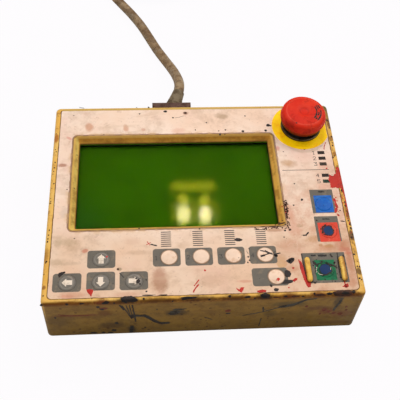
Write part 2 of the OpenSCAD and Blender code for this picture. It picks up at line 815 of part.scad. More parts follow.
module back_cover() {
    plate_w = cover_w - 2 * seat_gap;
    plate_d = cover_d - 2 * seat_gap;
    sink_r = 2 * cover_screw_r + 0.2;
    color("goldenrod") difference() {
        union() {
            plate(plate_w, plate_d, 2.2, cover_t);
            for (x = [-2 : 2])
                translate([x * 36 - 1, 16 - plate_d / 2, cover_t - eps]) cube([2, plate_d - 32, 3]);
        }
        at_each(cover_places, -cut) cylinder(r = cover_screw_r + 0.2, h = cover_t + 2 * cut);
        at_each(cover_places, 0) rotate_extrude()
            polygon([[0, -cut], [sink_r + cut, -cut], [sink_r - cover_screw_r, cover_screw_r],
                [0, cover_screw_r]]);
    }
}

module cover_seal() {
    seal_w = 3;
    color("black") translate([0, 0, cover_t]) difference() {
        plate(cover_w - 1, cover_d - 1, 2, seal_t);
        translate([0, 0, -cut])
            plate(cover_w - 1 - 2 * seal_w, cover_d - 1 - 2 * seal_w, 1, seal_t + 2 * cut);
    }
}

// Countersunk screws, each with a socket in its head
module cover_screws() {
    head = cover_screw_r - 0.1;
    sunk = 0.2;
    color("silver") at_each(cover_places, sunk) difference() {
        union() {
            cylinder(r1 = 2 * cover_screw_r - 0.1, r2 = cover_screw_r, h = head);
            translate([0, 0, head])
                cylinder(r = cover_screw_r, h = cover_seat + cover_bite - sunk - head);
        }
        translate([0, 0, -cut]) cylinder(r = 1.3, h = cut + 1.3, $fn = 6);
    }
}

// The clamp block that holds the lead to the back wall
module gland_block() {
    collar = 9.5;
    color("saddlebrown") difference() {
        union() {
            translate([gland_x, gland_face - 4, gland_z]) rotate([90, 0, 0])
                plate(gland_w, gland_h, 2.5, gland_face - 4 - gland_y);
            translate([gland_x, gland_y, gland_z]) rotate([-90, 0, 0])
                cylinder(r = collar, h = gland_face - gland_y);
            translate([gland_x - gland_w / 2, gland_face - 4 - eps, gland_z + gland_h / 2 - 5])
                cube([gland_w, 4, 5]);
        }
        translate([gland_x, gland_y - cut, gland_z]) rotate([-90, 0, 0])
            cylinder(r = lead_r + 0.05, h = gland_t + 2 * cut);
        for (x = [-1, 1])
            translate([gland_x + x * (gland_w / 2 - 4.5), gland_y - cut, gland_z]) rotate([-90, 0, 0])
                cylinder(r = small_screw_r + 0.2, h = gland_t + 2 * cut);
    }
}

module gland_screws() {
    color("silver") for (x = [-1, 1])
        translate([gland_x + x * (gland_w / 2 - 4.5), gland_face - 4, gland_z]) rotate([90, 0, 0])
            pan_screw(small_screw_r, gland_t);
}

// A ribbed rubber boot that tapers on to the lead
module boot(root_r, tip_r, length) {
    ribs = 4;
    difference() {
        union() {
            rotate_extrude() polygon([[0, 0], [root_r, 0], [root_r, 2.5], [root_r - 1.2, 4],
                [(root_r + tip_r) / 2 - 0.4, length * 0.45], [tip_r, length], [0, length]]);
            for (i = [1 : ribs])
                let (z = 3 + i * (length - 6) / (ribs + 1), r = root_r - (root_r - tip_r) * z / length)
                    translate([0, 0, z]) cylinder(r = r - 0.4, h = 1.4);
        }
        translate([0, 0, -cut]) cylinder(r = lead_r, h = length + 2 * cut);
    }
}

module lead_boot() {
    color("dimgray") translate(boot_root) rotate([-90, 0, -boot_lean]) boot(8.2, lead_r + 0.6, boot_len);
}

module lead_tube() {
    color("dimgray") sweep(concat([[gland_x, lead_start, gland_z]], lead_route), lead_r, 10);
}

module lead_coil() {
    soft = 4;
    color("dimgray") translate([coil_at[0], coil_at[1], 0]) rotate_extrude()
        translate([coil_d / 2, coil_h / 2]) polygon(rounded(2 * coil_half, coil_h, soft, 4));
}

module coil_tie() {
    band = 1.2;
    tie_w = 9;
    color("black") translate([coil_at[0] + coil_d / 2, coil_at[1] - tie_w / 2, coil_h / 2])
        rotate([-90, 0, 0]) difference() {
            plate(2 * coil_half + 2 * band, coil_h, 4.5, tie_w);
            translate([0, 0, -cut]) plate(2 * coil_half - 0.6, coil_h - 2 * band, 4, tie_w + 2 * cut);
        }
}

module lead_tail() {
    route = [for (p = tail_route) p + [coil_at[0], coil_at[1], 0]];
    color("dimgray") sweep(route, lead_r, 10);
}

module along_plug(d) {
    translate(plug_at - [d, 0, 0]) rotate([0, -90, 0]) children();
}

module plug_boot() {
    color("black") along_plug(plug_boot_len) mirror([0, 0, 1]) boot(8.5, lead_r + 0.6, plug_boot_len);
}

module plug_shell() {
    step = 1;
    color("silver") along_plug(plug_boot_len) difference() {
        rotate_extrude() polygon([[0, 0], [shell_r - 2, 0], [shell_r - 1, step], [shell_r - 1, 6],
            [shell_r, 6 + step], [shell_r, shell_len - barrel_len],
            [barrel_out, shell_len - barrel_len + step], [barrel_out, shell_len], [0, shell_len]]);
        translate([0, 0, insert_z]) cylinder(r = barrel_in, h = barrel_len);
        translate([0, 0, -cut]) cylinder(r = lead_r + 0.5, h = 8 + cut);
    }
}

// The coupling ring, held by its inner shoulder and free to turn on the shell
module plug_ring() {
    shoulder = 3;
    bevel = 0.6;
    groove = 0.7;
    color("silver") along_plug(plug_boot_len + shell_len - barrel_len + 1.5) rotate_extrude()
        polygon([[barrel_out + fit, 0], [ring_r - bevel, 0], [ring_r, bevel],
            [ring_r, ring_len * 0.3], [ring_r - groove, ring_len * 0.3 + groove],
            [ring_r - groove, ring_len * 0.4], [ring_r, ring_len * 0.4 + groove],
            [ring_r, ring_len - bevel], [ring_r - bevel, ring_len],
            [barrel_out + 1.6, ring_len], [barrel_out + 1.6, shoulder], [barrel_out + fit, shoulder]]);
}

module plug_insert() {
    color("black") along_plug(plug_boot_len + insert_z) difference() {
        cylinder(r = barrel_in - fit / 2, h = insert_len);
        at_contacts() translate([0, 0, 1]) cylinder(r = contact_r, h = insert_len, $fn = 24);
    }
}

module at_contacts() {
    children();
    for (i = [0 : contacts - 2]) rotate([0, 0, 360 * i / (contacts - 1)])
        translate([contact_ring_r, 0, 0]) children();
}

module plug_contacts() {
    color("gold") along_plug(plug_boot_len + insert_z + 1) at_contacts() difference() {
        cylinder(r = contact_r, h = insert_len - 1.2, $fn = 24);
        translate([0, 0, 2]) cylinder(r = contact_r - 0.35, h = insert_len, $fn = 24);
    }
}

housing();
guard_rails();
overlay_film();
keypad_spacer();
keypad_circuit();
snap_domes();
key_up();
key_left();
key_down();
key_right();
key_f1();
key_f2();
key_f3();
key_f4();
key_enter();
key_reset();
key_pause();
key_start();
legend_disc();
stop_collar();
stop_barrel();
stop_nut();
stop_plunger();
stop_spring();
stop_head();
contact_block();
window();
window_foam();
lcd_frame();
lcd_glass();
lcd_backlight();
lcd_board();
lcd_screws();
light_pipes();
lamps();
main_board();
chips();
board_screws();
tail_socket();
lead_header();
harness();
back_cover();
cover_seal();
cover_screws();
gland_block();
gland_screws();
lead_boot();
lead_tube();
lead_coil();
coil_tie();
lead_tail();
plug_boot();
plug_shell();
plug_ring();
plug_insert();
plug_contacts();
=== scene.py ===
# A worn teach pendant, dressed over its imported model. Lengths are metres unless a name says mm.
import bpy
import bmesh
import math
import random
from mathutils import Matrix, Vector, noise
from mathutils.bvhtree import BVHTree
from mathutils.geometry import tessellate_polygon


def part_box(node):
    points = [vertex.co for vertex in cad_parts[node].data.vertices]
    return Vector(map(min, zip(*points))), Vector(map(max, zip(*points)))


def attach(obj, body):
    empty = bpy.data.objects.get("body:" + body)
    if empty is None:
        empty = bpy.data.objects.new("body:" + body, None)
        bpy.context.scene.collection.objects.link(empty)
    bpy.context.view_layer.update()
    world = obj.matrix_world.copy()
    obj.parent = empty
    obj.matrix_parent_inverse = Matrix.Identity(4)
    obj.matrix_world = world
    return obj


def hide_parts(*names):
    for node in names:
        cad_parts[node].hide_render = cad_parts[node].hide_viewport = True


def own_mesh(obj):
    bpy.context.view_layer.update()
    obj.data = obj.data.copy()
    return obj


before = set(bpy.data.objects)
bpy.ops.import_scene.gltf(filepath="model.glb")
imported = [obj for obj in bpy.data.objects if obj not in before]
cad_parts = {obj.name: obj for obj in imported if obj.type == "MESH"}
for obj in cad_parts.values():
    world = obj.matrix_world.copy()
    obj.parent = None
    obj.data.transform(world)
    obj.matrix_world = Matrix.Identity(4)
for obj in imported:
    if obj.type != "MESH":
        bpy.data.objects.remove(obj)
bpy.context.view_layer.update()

mm = 0.001
scene = bpy.context.scene
for spare in ("Cube", "Light", "Camera"):   # what a new file brings
    if spare in bpy.data.objects:
        bpy.data.objects.remove(bpy.data.objects[spare])


def report(stage):
    print("pendant:", stage, flush=True)


def addObject(name, data):
    made = bpy.data.objects.new(name, data)
    scene.collection.objects.link(made)
    return made


def hue(r, g, b):
    # 0-255 display values to the renderer's own
    def one(v):
        v = v / 255.0
        return v / 12.92 if v <= 0.04045 else ((v + 0.055) / 1.055) ** 2.4
    return (one(r), one(g), one(b), 1.0)


def tint(colour):
    # three numbers are a display colour; four numbers or a socket pass as they are
    return hue(*colour) if isinstance(colour, tuple) and len(colour) == 3 else colour


def shade(colour, factor):
    return tuple(min(1.0, c * factor) for c in tint(colour)[:3]) + (1.0,)


class nodeDesk:
    # A node tree under work: each method adds a node and gives back the socket with its result

    def __init__(self, tree):
        self.tree = tree

    def put(self, socket, value):
        if isinstance(value, bpy.types.NodeSocket):
            self.tree.links.new(value, socket)
        else:
            socket.default_value = value

    def node(self, kind, given=(), **settings):
        made = self.tree.nodes.new(kind)
        row, column = divmod(len(self.tree.nodes), 16)
        made.location = (200 * column, -260 * row)
        for key, value in settings.items():
            setattr(made, key, value)
        for key, value in given.items() if isinstance(given, dict) else enumerate(given):
            self.put(made.inputs[key], value)
        return made

    def calc(self, work, *values):
        return self.node("ShaderNodeMath", values, operation=work).outputs[0]

    def times(self, *values):
        return self.calc("MULTIPLY", *values)

    def plus(self, *values):
        return self.calc("ADD", *values)

    def minus(self, *values):
        return self.calc("SUBTRACT", *values)

    def fit(self, value, factor, start):
        return self.calc("MULTIPLY_ADD", value, factor, start)

    def most(self, *values):
        return self.calc("MAXIMUM", *values)

    def offBy(self, value, middle):
        return self.calc("ABSOLUTE", self.minus(value, middle))

    def vector(self, work, *values):
        made = self.node("ShaderNodeVectorMath", values, operation=work)
        return made.outputs["Value" if work == "LENGTH" else "Vector"]

    def spin(self, vector, angle):
        given = {"Vector": vector, "Angle": angle}
        return self.node("ShaderNodeVectorRotate", given, rotation_type="Z_AXIS").outputs[0]

    def axes(self, vector=None):
        return self.node("ShaderNodeSeparateXYZ", (vector or self.place,)).outputs

    def awayFrom(self, spot):
        # distance from an upright line
        flat = self.vector("MULTIPLY", self.vector("SUBTRACT", self.place, spot), (1, 1, 0))
        return self.vector("LENGTH", flat)

    def ramp(self, value, low, high):
        # 0 below low, 1 above high, eased between; low may be above high
        given = {"Value": value, "From Min": low, "From Max": high}
        return self.node("ShaderNodeMapRange", given, interpolation_type="SMOOTHSTEP").outputs["Result"]

    def noise(self, scale, detail=4.0, rough=0.55, bend=0.0, at=None):
        given = {"Vector": at or self.place, "Scale": scale, "Detail": detail, "Roughness": rough, "Distortion": bend}
        return self.node("ShaderNodeTexNoise", given).outputs["Fac"]

    def mask(self, name, *values):
        # a shared effect at the surface's own place, with the rest of its inputs in their order
        return self.node("ShaderNodeGroup", (self.place, *values), node_tree=effects[name]).outputs[0]

    def blend(self, share, under, over, strength=1.0, mode="MIX"):
        if strength != 1.0:
            share = self.times(share, strength)
        given = {0: share, 6: tint(under), 7: tint(over)}
        return self.node("ShaderNodeMix", given, data_type="RGBA", blend_type=mode).outputs[2]

    def lay(self, share, over, strength=1.0, mode="MIX"):
        self.colour = self.blend(share, self.colour, over, strength, mode)

    def wear(self, *rows):
        # layers of a shared effect: its name, its values, a colour and how strong
        for name, values, over, strength in rows:
            self.lay(self.mask(name, *values), over, strength)


viewer = {
    "place": (-0.03574, -0.30303, 0.49903),
    "tilt": 33.985,     # degrees back from straight down
    "heading": -6.941,  # degrees, turned about the upright
    "roll": 4.497,      # degrees, about the line of sight
    "lens": 59.88,      # mm on a 36 mm sensor
}
lightTable = {
    "room": 0.40, "roomTint": (1.0, 0.93, 0.83, 1.0), "white": (0.995, 0.982, 1.0, 1.0),
    "floorTint": (0.80, 0.79, 0.78, 1.0),
    "floorShow": 0.97,      # how much of the floor is plain white to the viewer
    "floorDrop": 0.3,       # mm that it lies below the object
    "floorReach": 4.0,
    "contact": 0.0006,      # rays shorter than this pass through the floor
    "sunTint": (1.0, 0.95, 0.84), "sunSpread": 28.0,
    "suns": {"sunLeft": ((-0.46, 0.30, 0.84), 0.78), "sunRight": ((0.52, 0.34, 0.78), 1.05)},
    "mirror": (-0.005, -0.005, 0.047),      # the spot of the screen that the glows face
    # lamps and strips that the screen mirrors back: shape, place, size, radiance, colour
    "glows": [
        ("ELLIPSE", (0.0352, 0.5925, 1.0), (0.032, 0.044), 330.0, (1.0, 0.80, 0.9)),
        ("ELLIPSE", (0.0884, 0.5885, 1.0), (0.030, 0.042), 330.0, (1.0, 0.80, 0.9)),
        ("ELLIPSE", (0.0352, 0.6380, 1.0), (0.028, 0.026), 20.0, (1.0, 0.74, 0.30)),
        ("ELLIPSE", (0.0900, 0.6360, 1.0), (0.026, 0.026), 18.0, (1.0, 0.74, 0.30)),
        ("ELLIPSE", (0.0362, 0.6800, 1.0), (0.066, 0.030), 6.6, (1.0, 0.74, 0.20)),
        ("ELLIPSE", (0.0936, 0.6810, 1.0), (0.066, 0.030), 6.6, (1.0, 0.74, 0.20)),
        ("RECTANGLE", (0.0659, 0.6805, 1.001), (0.104, 0.016), 3.4, (1.0, 0.74, 0.20)),
        ("RECTANGLE", (0.0635, 0.6030, 1.001), (0.126, 0.044), 3.4, (1.0, 0.72, 0.20)),
    ],
}


def setCamera():
    lens = bpy.data.cameras.new("viewer")
    lens.lens = viewer["lens"]
    lens.sensor_width = 36.0
    lens.clip_start = 0.01
    eye = addObject("viewer", lens)
    turn = Matrix.Identity(4)
    for angle, axis in ((viewer["heading"], "Z"), (viewer["tilt"], "X"), (viewer["roll"], "Z")):
        turn = turn @ Matrix.Rotation(math.radians(angle), 4, axis)
    eye.matrix_world = Matrix.Translation(viewer["place"]) @ turn
    scene.camera = eye


def addGlow(name, shape, place, size, radiance, colour):
    # A flat lamp that faces the screen, level in its mirror image; radiance is set by power over area
    glow = bpy.data.lights.new(name, "AREA")
    glow.shape = shape
    glow.size, glow.size_y = size
    glow.energy = radiance * math.pi * size[0] * size[1] * (math.pi / 4 if shape == "ELLIPSE" else 1.0)
    glow.color = colour
    holder = addObject(name, glow)
    place = Vector(place)
    back = (place - Vector(lightTable["mirror"])).normalized()
    across = scene.camera.matrix_world.to_3x3() @ Vector((1, 0, 0))
    across.z = -across.z
    across = (across - back * across.dot(back)).normalized()
    aim = Matrix((across, back.cross(across), back)).transposed()
    holder.matrix_world = Matrix.Translation(place) @ aim.to_4x4()


def addSun(name, source, power):
    sun = bpy.data.lights.new(name, "SUN")
    sun.energy = power
    sun.angle = math.radians(lightTable["sunSpread"])
    sun.color = lightTable["sunTint"]
    source = Vector(source)
    aim = (-source).to_track_quat("-Z", "Y").to_matrix().to_4x4()
    addObject(name, sun).matrix_world = Matrix.Translation(source * 2) @ aim


def makeFloorFinish():
    # White to the viewer with the faintest shade on it, and a plain pale table to every other ray.
    # It is clear from underneath and to what rests on it, so that a view from below shows the back.
    made = bpy.data.materials.new("paleFloor")
    made.use_nodes = True
    d = nodeDesk(made.node_tree)
    shader = made.node_tree.nodes["Principled BSDF"]
    d.put(shader.inputs["Base Color"], lightTable["floorTint"])
    d.put(shader.inputs["Roughness"], 0.9)
    seen = d.node("ShaderNodeLightPath").outputs
    white = d.node("ShaderNodeEmission", {"Color": lightTable["white"]}).outputs[0]
    share = d.times(seen["Is Camera Ray"], lightTable["floorShow"])
    mixed = d.node("ShaderNodeMixShader", (share, shader.outputs[0], white)).outputs[0]
    resting = d.calc("LESS_THAN", seen["Ray Length"], lightTable["contact"])
    either = d.most(resting, d.node("ShaderNodeNewGeometry").outputs["Backfacing"])
    clear = d.node("ShaderNodeBsdfTransparent").outputs[0]
    whole = d.node("ShaderNodeMixShader", (either, mixed, clear)).outputs[0]
    d.put(made.node_tree.nodes["Material Output"].inputs["Surface"], whole)
    return made


def setRoom():
    world = bpy.data.worlds.new("room")
    world.use_nodes = True
    d = nodeDesk(world.node_tree)
    back = world.node_tree.nodes["Background"]
    d.put(back.inputs["Color"], lightTable["roomTint"])
    d.put(back.inputs["Strength"], lightTable["room"])
    pale = d.node("ShaderNodeBackground", {"Color": lightTable["white"]}).outputs[0]    # seen past the floor
    seen = d.node("ShaderNodeLightPath").outputs["Is Camera Ray"]
    mixed = d.node("ShaderNodeMixShader", (seen, back.outputs[0], pale)).outputs[0]
    d.put(world.node_tree.nodes["World Output"].inputs["Surface"], mixed)
    scene.world = world
    scene.view_settings.view_transform = "Standard"
    for name, facts in lightTable["suns"].items():
        addSun(name, *facts)
    for number, facts in enumerate(lightTable["glows"]):
        addGlow("glow%d" % (number + 1), *facts)
    floorMesh = bpy.data.meshes.new("floor")
    reach, level = lightTable["floorReach"], -lightTable["floorDrop"] * mm
    corners = [(-reach, -reach, level), (reach, -reach, level), (reach, reach, level), (-reach, reach, level)]
    floorMesh.from_pydata(corners, [], [(0, 1, 2, 3)])
    floor = addObject("floor", floorMesh)
    floorMesh.materials.append(makeFloorFinish())


setCamera()
setRoom()
report("camera, floor and lights")


def pieceTree(name, inputs):
    # A geometry tree: what comes in, the named inputs with their start values, and a finish
    tree = bpy.data.node_groups.new(name, "GeometryNodeTree")
    tree.interface.new_socket("Geometry", in_out="INPUT", socket_type="NodeSocketGeometry")
    for label, start in inputs.items():
        kind = "NodeSocketInt" if isinstance(start, int) else "NodeSocketFloat"
        tree.interface.new_socket(label, in_out="INPUT", socket_type=kind).default_value = start
    tree.interface.new_socket("Finish", in_out="INPUT", socket_type="NodeSocketMaterial")
    tree.interface.new_socket("Geometry", in_out="OUTPUT", socket_type="NodeSocketGeometry")
    desk = nodeDesk(tree)
    return desk, desk.node("NodeGroupInput").outputs


def endTree(desk, given, shape):
    real = desk.node("GeometryNodeRealizeInstances", {"Geometry": shape}).outputs[0]
    paint = desk.node("GeometryNodeSetMaterial", {"Geometry": real, "Material": given["Finish"]}).outputs[0]
    desk.node("NodeGroupOutput", {"Geometry": paint})
    return desk.tree


def runTree(holder, tree, values):
    # Adds the tree as a modifier, sets its named inputs, and returns a plain mesh object
    modifier = holder.modifiers.new("builder", "NODES")
    modifier.node_group = tree
    for item in tree.interface.items_tree:
        if item.item_type == "SOCKET" and item.in_out == "INPUT" and item.name in values:
            modifier[item.identifier] = values[item.name]
    holder.update_tag()
    bpy.context.view_layer.update()
    seen = holder.evaluated_get(bpy.context.evaluated_depsgraph_get())
    mesh = bpy.data.meshes.new_from_object(seen)
    name = holder.name
    holder.modifiers.remove(modifier)
    data = holder.data
    bpy.data.objects.remove(holder)
    if data.users == 0:
        (bpy.data.curves if isinstance(data, bpy.types.Curve) else bpy.data.meshes).remove(data)
    return addObject(name, mesh)


def pointHolder(name, places):
    mesh = bpy.data.meshes.new(name)
    mesh.from_pydata([tuple(v * mm for v in place) for place in places], [], [])
    return addObject(name, mesh)


# Shared effects, as node groups. Each takes a place first and gives a mask or a distance.

def newGroup(name, inputs, output="Mask"):
    tree = bpy.data.node_groups.new(name, "ShaderNodeTree")
    tree.interface.new_socket("Vector", in_out="INPUT", socket_type="NodeSocketVector")
    for label, start in inputs.items():
        kind = "NodeSocketVector" if isinstance(start, tuple) else "NodeSocketFloat"
        tree.interface.new_socket(label, in_out="INPUT", socket_type=kind).default_value = start
    tree.interface.new_socket(output, in_out="OUTPUT", socket_type="NodeSocketFloat")
    desk = nodeDesk(tree)
    given = desk.node("NodeGroupInput").outputs
    desk.place = given["Vector"]
    return desk, given, desk.node("NodeGroupOutput").inputs[0]


def makeGrime():
    d, given, out = newGroup("handGrime", {"Scale": 30.0, "Reach": 0.4, "Softness": 0.1, "Seed": 0.0})
    steps = [d.times(given["Seed"], step) for step in (0.173, 0.291, 0.417)]
    moved = d.vector("ADD", d.place, d.node("ShaderNodeCombineXYZ", steps).outputs[0])
    wide = d.noise(given["Scale"], 6.0, 0.62, 0.4, moved)
    fine = d.noise(d.times(given["Scale"], 7.3), 4.0, 0.6, at=moved)
    both = d.plus(d.times(wide, 0.74), d.times(fine, 0.26))
    centre = d.fit(given["Reach"], -0.34, 0.67)
    half = d.times(given["Softness"], 0.5)
    d.put(out, d.ramp(both, d.minus(centre, half), d.plus(centre, half)))
    return d.tree


def makeSpecks():
    d, given, out = newGroup("paintSpecks", {"Scale": 200.0, "Size": 0.25, "Share": 0.2})
    cells = d.node("ShaderNodeTexVoronoi", {"Vector": d.place, "Scale": given["Scale"]}, feature="F1").outputs
    drawn = d.node("ShaderNodeSeparateColor", (cells["Color"],)).outputs
    ragged = d.noise(d.times(given["Scale"], 3.0), 2.0)
    limit = d.times(given["Size"], d.fit(drawn[0], 0.8, 0.2))
    near = d.plus(cells["Distance"], d.fit(ragged, 0.16, -0.08))
    inside = d.ramp(near, limit, d.times(limit, 0.7))
    d.put(out, d.times(inside, d.calc("LESS_THAN", drawn[1], given["Share"])))
    return d.tree


def makeScuffs():
    d, given, out = newGroup("fineScuffs", {"Scale": 60.0, "Width": 0.01, "Share": 0.4, "Turn": 0.6})
    drawn = d.vector("MULTIPLY", d.spin(d.place, given["Turn"]), (0.16, 1.0, 0.6))
    lines = d.noise(given["Scale"], 2.0, 0.5, 0.8, drawn)
    thin = d.ramp(d.offBy(lines, 0.5), given["Width"], 0.0)
    where = d.noise(d.times(given["Scale"], 0.7), 3.0)
    some = d.ramp(where, d.minus(0.75, d.times(given["Share"], 0.4)), 0.78)
    d.put(out, d.times(thin, some))
    return d.tree


def makeStain():
    d, given, out = newGroup("placedStain", {
        "Place": (0, 0, 0), "Radii": (0.01, 0.01, 0.01), "Turn": 0.0, "Ragged": 0.6, "Soft": 0.4})
    turned = d.spin(d.vector("SUBTRACT", d.place, given["Place"]), given["Turn"])
    away = d.vector("LENGTH", d.vector("DIVIDE", turned, given["Radii"]))
    uneven = d.minus(d.noise(420.0, 5.0, 0.65), 0.5)
    reach = d.plus(away, d.times(uneven, given["Ragged"]))
    d.put(out, d.ramp(reach, d.plus(1.0, given["Soft"]), d.minus(1.0, given["Soft"])))
    return d.tree


def makeOutline():
    # How far a point lies outside a rectangle with rounded corners, seen from above
    d, given, out = newGroup("outlineDistance", {"Centre": (0, 0, 0), "Half": (0.1, 0.1, 0), "Corner": 0.003}, "Away")
    moved = d.vector("ABSOLUTE", d.vector("SUBTRACT", d.place, given["Centre"]))
    parts = d.axes(d.vector("SUBTRACT", moved, given["Half"]))
    across, along = [d.plus(part, given["Corner"]) for part in parts[:2]]
    outside = [d.most(part, 0.0) for part in (across, along)]
    outer = d.vector("LENGTH", d.node("ShaderNodeCombineXYZ", outside).outputs[0])
    inner = d.calc("MINIMUM", d.most(across, along), 0.0)
    d.put(out, d.minus(d.plus(outer, inner), given["Corner"]))
    return d.tree


def makeArrow():
    # A fat arrow that points along +Y
    d, given, out = newGroup("printedArrow", {
        "Place": (0, 0, 0), "Turn": 0.0, "Length": 0.009, "Head": 0.0074, "Shaft": 0.004, "Neck": 0.0042,
        "Wander": 0.0003})
    parts = d.axes(d.spin(d.vector("SUBTRACT", d.place, given["Place"]), given["Turn"]))
    uneven = d.times(d.minus(d.noise(900.0, 3.0), 0.5), given["Wander"])
    side = d.plus(d.calc("ABSOLUTE", parts[0]), uneven)
    along = d.plus(parts[1], uneven)
    half = d.times(given["Length"], 0.5)
    neck = d.minus(half, given["Neck"])
    within = d.times(d.calc("GREATER_THAN", along, d.times(half, -1.0)),
                     d.calc("LESS_THAN", along, d.plus(neck, 0.0002)))
    shaft = d.times(d.calc("LESS_THAN", side, d.times(given["Shaft"], 0.5)), within)
    reach = d.times(d.calc("DIVIDE", d.minus(half, along), given["Neck"]), d.times(given["Head"], 0.5))
    head = d.times(d.calc("LESS_THAN", side, reach), d.calc("GREATER_THAN", along, neck))
    d.put(out, d.most(shaft, head))
    return d.tree


effects = {"grime": makeGrime(), "specks": makeSpecks(), "scuffs": makeScuffs(), "stain": makeStain(),
           "outline": makeOutline(), "arrow": makeArrow()}
socketNames = {"coat": "Coat Weight", "coatRough": "Coat Roughness", "clear": "Transmission Weight", "ior": "IOR",
               "shine": "Specular IOR Level"}


def startMaterial(name, rough=0.5, metal=0.0, **plain):
    made = bpy.data.materials.new(name)
    made.use_nodes = True
    desk = nodeDesk(made.node_tree)
    desk.made = made
    desk.shader = made.node_tree.nodes["Principled BSDF"].inputs
    desk.place = desk.node("ShaderNodeTexCoord").outputs["Object"]
    desk.put(desk.shader["Specular IOR Level"], 0.3)
    desk.put(desk.shader["Roughness"], rough)
    desk.put(desk.shader["Metallic"], metal)
    for key, value in plain.items():
        desk.put(desk.shader[socketNames[key]], value)
    return desk


def endMaterial(desk, rough, height=None, depth=0.0002, strength=0.5):
    desk.put(desk.shader["Base Color"], desk.colour)
    desk.put(desk.shader["Roughness"], rough)
    if height is not None:
        bump = desk.node("ShaderNodeBump", {"Distance": depth, "Strength": strength, "Height": height})
        desk.put(desk.shader["Normal"], bump.outputs["Normal"])
    return desk.made


def simpleFinish(name, base, dirty, rough, scale, reach=0.4, metal=0.0, grain=900.0):
    # A moulded or cast surface: uneven tone, grime in patches, fine specks and grain
    d = startMaterial(name, rough, metal)
    soil = d.mask("grime", scale, reach, 0.14, len(name) * 1.7)
    d.colour = d.blend(d.ramp(d.noise(scale * 0.5, 3.0), 0.3, 0.7), shade(base, 0.86), base)
    d.lay(soil, dirty, 0.75)
    d.wear(("specks", (420.0, 0.3, 0.12), shade(dirty, 0.4), 0.7))
    fine = d.noise(grain, 3.0)
    return endMaterial(d, d.fit(fine, 0.08, d.fit(soil, 0.22, rough - 0.04)), fine, 0.00004, 0.6)


# Tools for pieces

def finishPiece(name, mesh, material, body, stands=()):
    piece = addObject(name, mesh)
    mesh.materials.clear()
    mesh.materials.append(material)
    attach(piece, body)
    if stands:
        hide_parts(*stands)
    return piece


def meshFrom(name, shape):
    mesh = bpy.data.meshes.new(name)
    shape.to_mesh(mesh)
    shape.free()
    return mesh


def mergedCopy(node):
    shape = bmesh.new()
    shape.from_mesh(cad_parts[node].data)
    bmesh.ops.remove_doubles(shape, verts=shape.verts, dist=2e-7)
    return shape


def dress(node, finish, kind, sharp=30.0, body="case", name=None):
    # A merged copy of the node, shaded smooth up to its sharp edges
    shape = mergedCopy(node)
    for face in shape.faces:
        face.smooth = True
    for edge in shape.edges:
        edge.smooth = len(edge.link_faces) == 2 and edge.calc_face_angle(0) < math.radians(sharp)
    mesh = meshFrom(name or node + "Dressed", shape)
    return finishPiece(mesh.name, mesh, finishes[finish], body, (node,))


def circle(x, y, radius, count=40, wobble=0.0, seed=1):
    chance = random.Random(seed)
    turns = [chance.uniform(-1, 1) for _ in range(count)]
    smooth = [(turns[i - 1] + 2 * turns[i] + turns[(i + 1) % count]) / 4 for i in range(count)]
    return [(x + radius * (1 + wobble * smooth[i]) * math.cos(2 * math.pi * i / count),
             y + radius * (1 + wobble * smooth[i]) * math.sin(2 * math.pi * i / count)) for i in range(count)]


def rounded(x0, y0, x1, y1, radius, steps=5):
    points = []
    for cx, cy, start in ((x1 - radius, y0 + radius, -90), (x1 - radius, y1 - radius, 0),
                          (x0 + radius, y1 - radius, 90), (x0 + radius, y0 + radius, 180)):
        for k in range(steps + 1):
            a = math.radians(start + 90 * k / steps)
            points.append((cx + radius * math.cos(a), cy + radius * math.sin(a)))
    return points


def signedArea(points):
    return sum(a[0] * b[1] - b[0] * a[1] for a, b in zip(points, points[1:] + points[:1]))


def wound(points, way=True):
    points = list(points)
    return points if (signedArea(points) > 0) == way else points[::-1]


def alongAt(points, i):
    # the direction of the outline at a point
    before, after = points[i - 1], points[(i + 1) % len(points)]
    dx, dy = after[0] - before[0], after[1] - before[1]
    size = math.hypot(dx, dy) or 1.0
    return dx, dy, size


def ragged(points, step, wander, seed):
    # The outline, cut to short steps and pushed in and out
    cut = []
    for a, b in zip(points, points[1:] + points[:1]):
        count = max(1, int(math.dist(a, b) / step))
        cut += [(a[0] + (b[0] - a[0]) * k / count, a[1] + (b[1] - a[1]) * k / count) for k in range(count)]
    side = 1 if signedArea(cut) > 0 else -1
    out = []
    for i, (x, y) in enumerate(cut):
        dx, dy, size = alongAt(cut, i)
        push = wander * (noise.noise(Vector((x * 0.9, y * 0.9, seed * 7.1)))
                         + 0.6 * noise.noise(Vector((x * 2.3, y * 2.3, seed * 3.3))))
        out.append((x + push * side * dy / size, y - push * side * dx / size))
    return out


def addTriangles(rings, sheets):
    # The flat cut of the rings, facing up, on each sheet: (shape, its corners, whether it faces up)
    spots = [p for ring in rings for p in ring]
    for a, b, c in tessellate_polygon([[Vector((x, y, 0)) for x, y in ring] for ring in rings]):
        (ax, ay), (bx, by), (cx, cy) = spots[a], spots[b], spots[c]
        if (bx - ax) * (cy - ay) - (by - ay) * (cx - ax) < 0:
            b, c = c, b
        if len({a, b, c}) < 3:
            continue
        for shape, corners, up in sheets:
            try:
                shape.faces.new([corners[k] for k in ((a, b, c) if up else (a, c, b))])
            except ValueError:      # the cut gave the same triangle twice
                pass


def flatShape(shape, outline, top, thickness, holes=()):
    # A closed plate, in mm
    rings = [wound(outline)] + [wound(hole, False) for hole in holes]
    spots = [p for ring in rings for p in ring]
    upper = [shape.verts.new((x * mm, y * mm, top * mm)) for x, y in spots]
    lower = [shape.verts.new((x * mm, y * mm, (top - thickness) * mm)) for x, y in spots]
    addTriangles(rings, [(shape, upper, True), (shape, lower, False)])
    start = 0
    for ring in rings:
        for i in range(len(ring)):
            a, b = start + i, start + (i + 1) % len(ring)
            shape.faces.new((upper[b], upper[a], lower[a], lower[b]))
        start += len(ring)


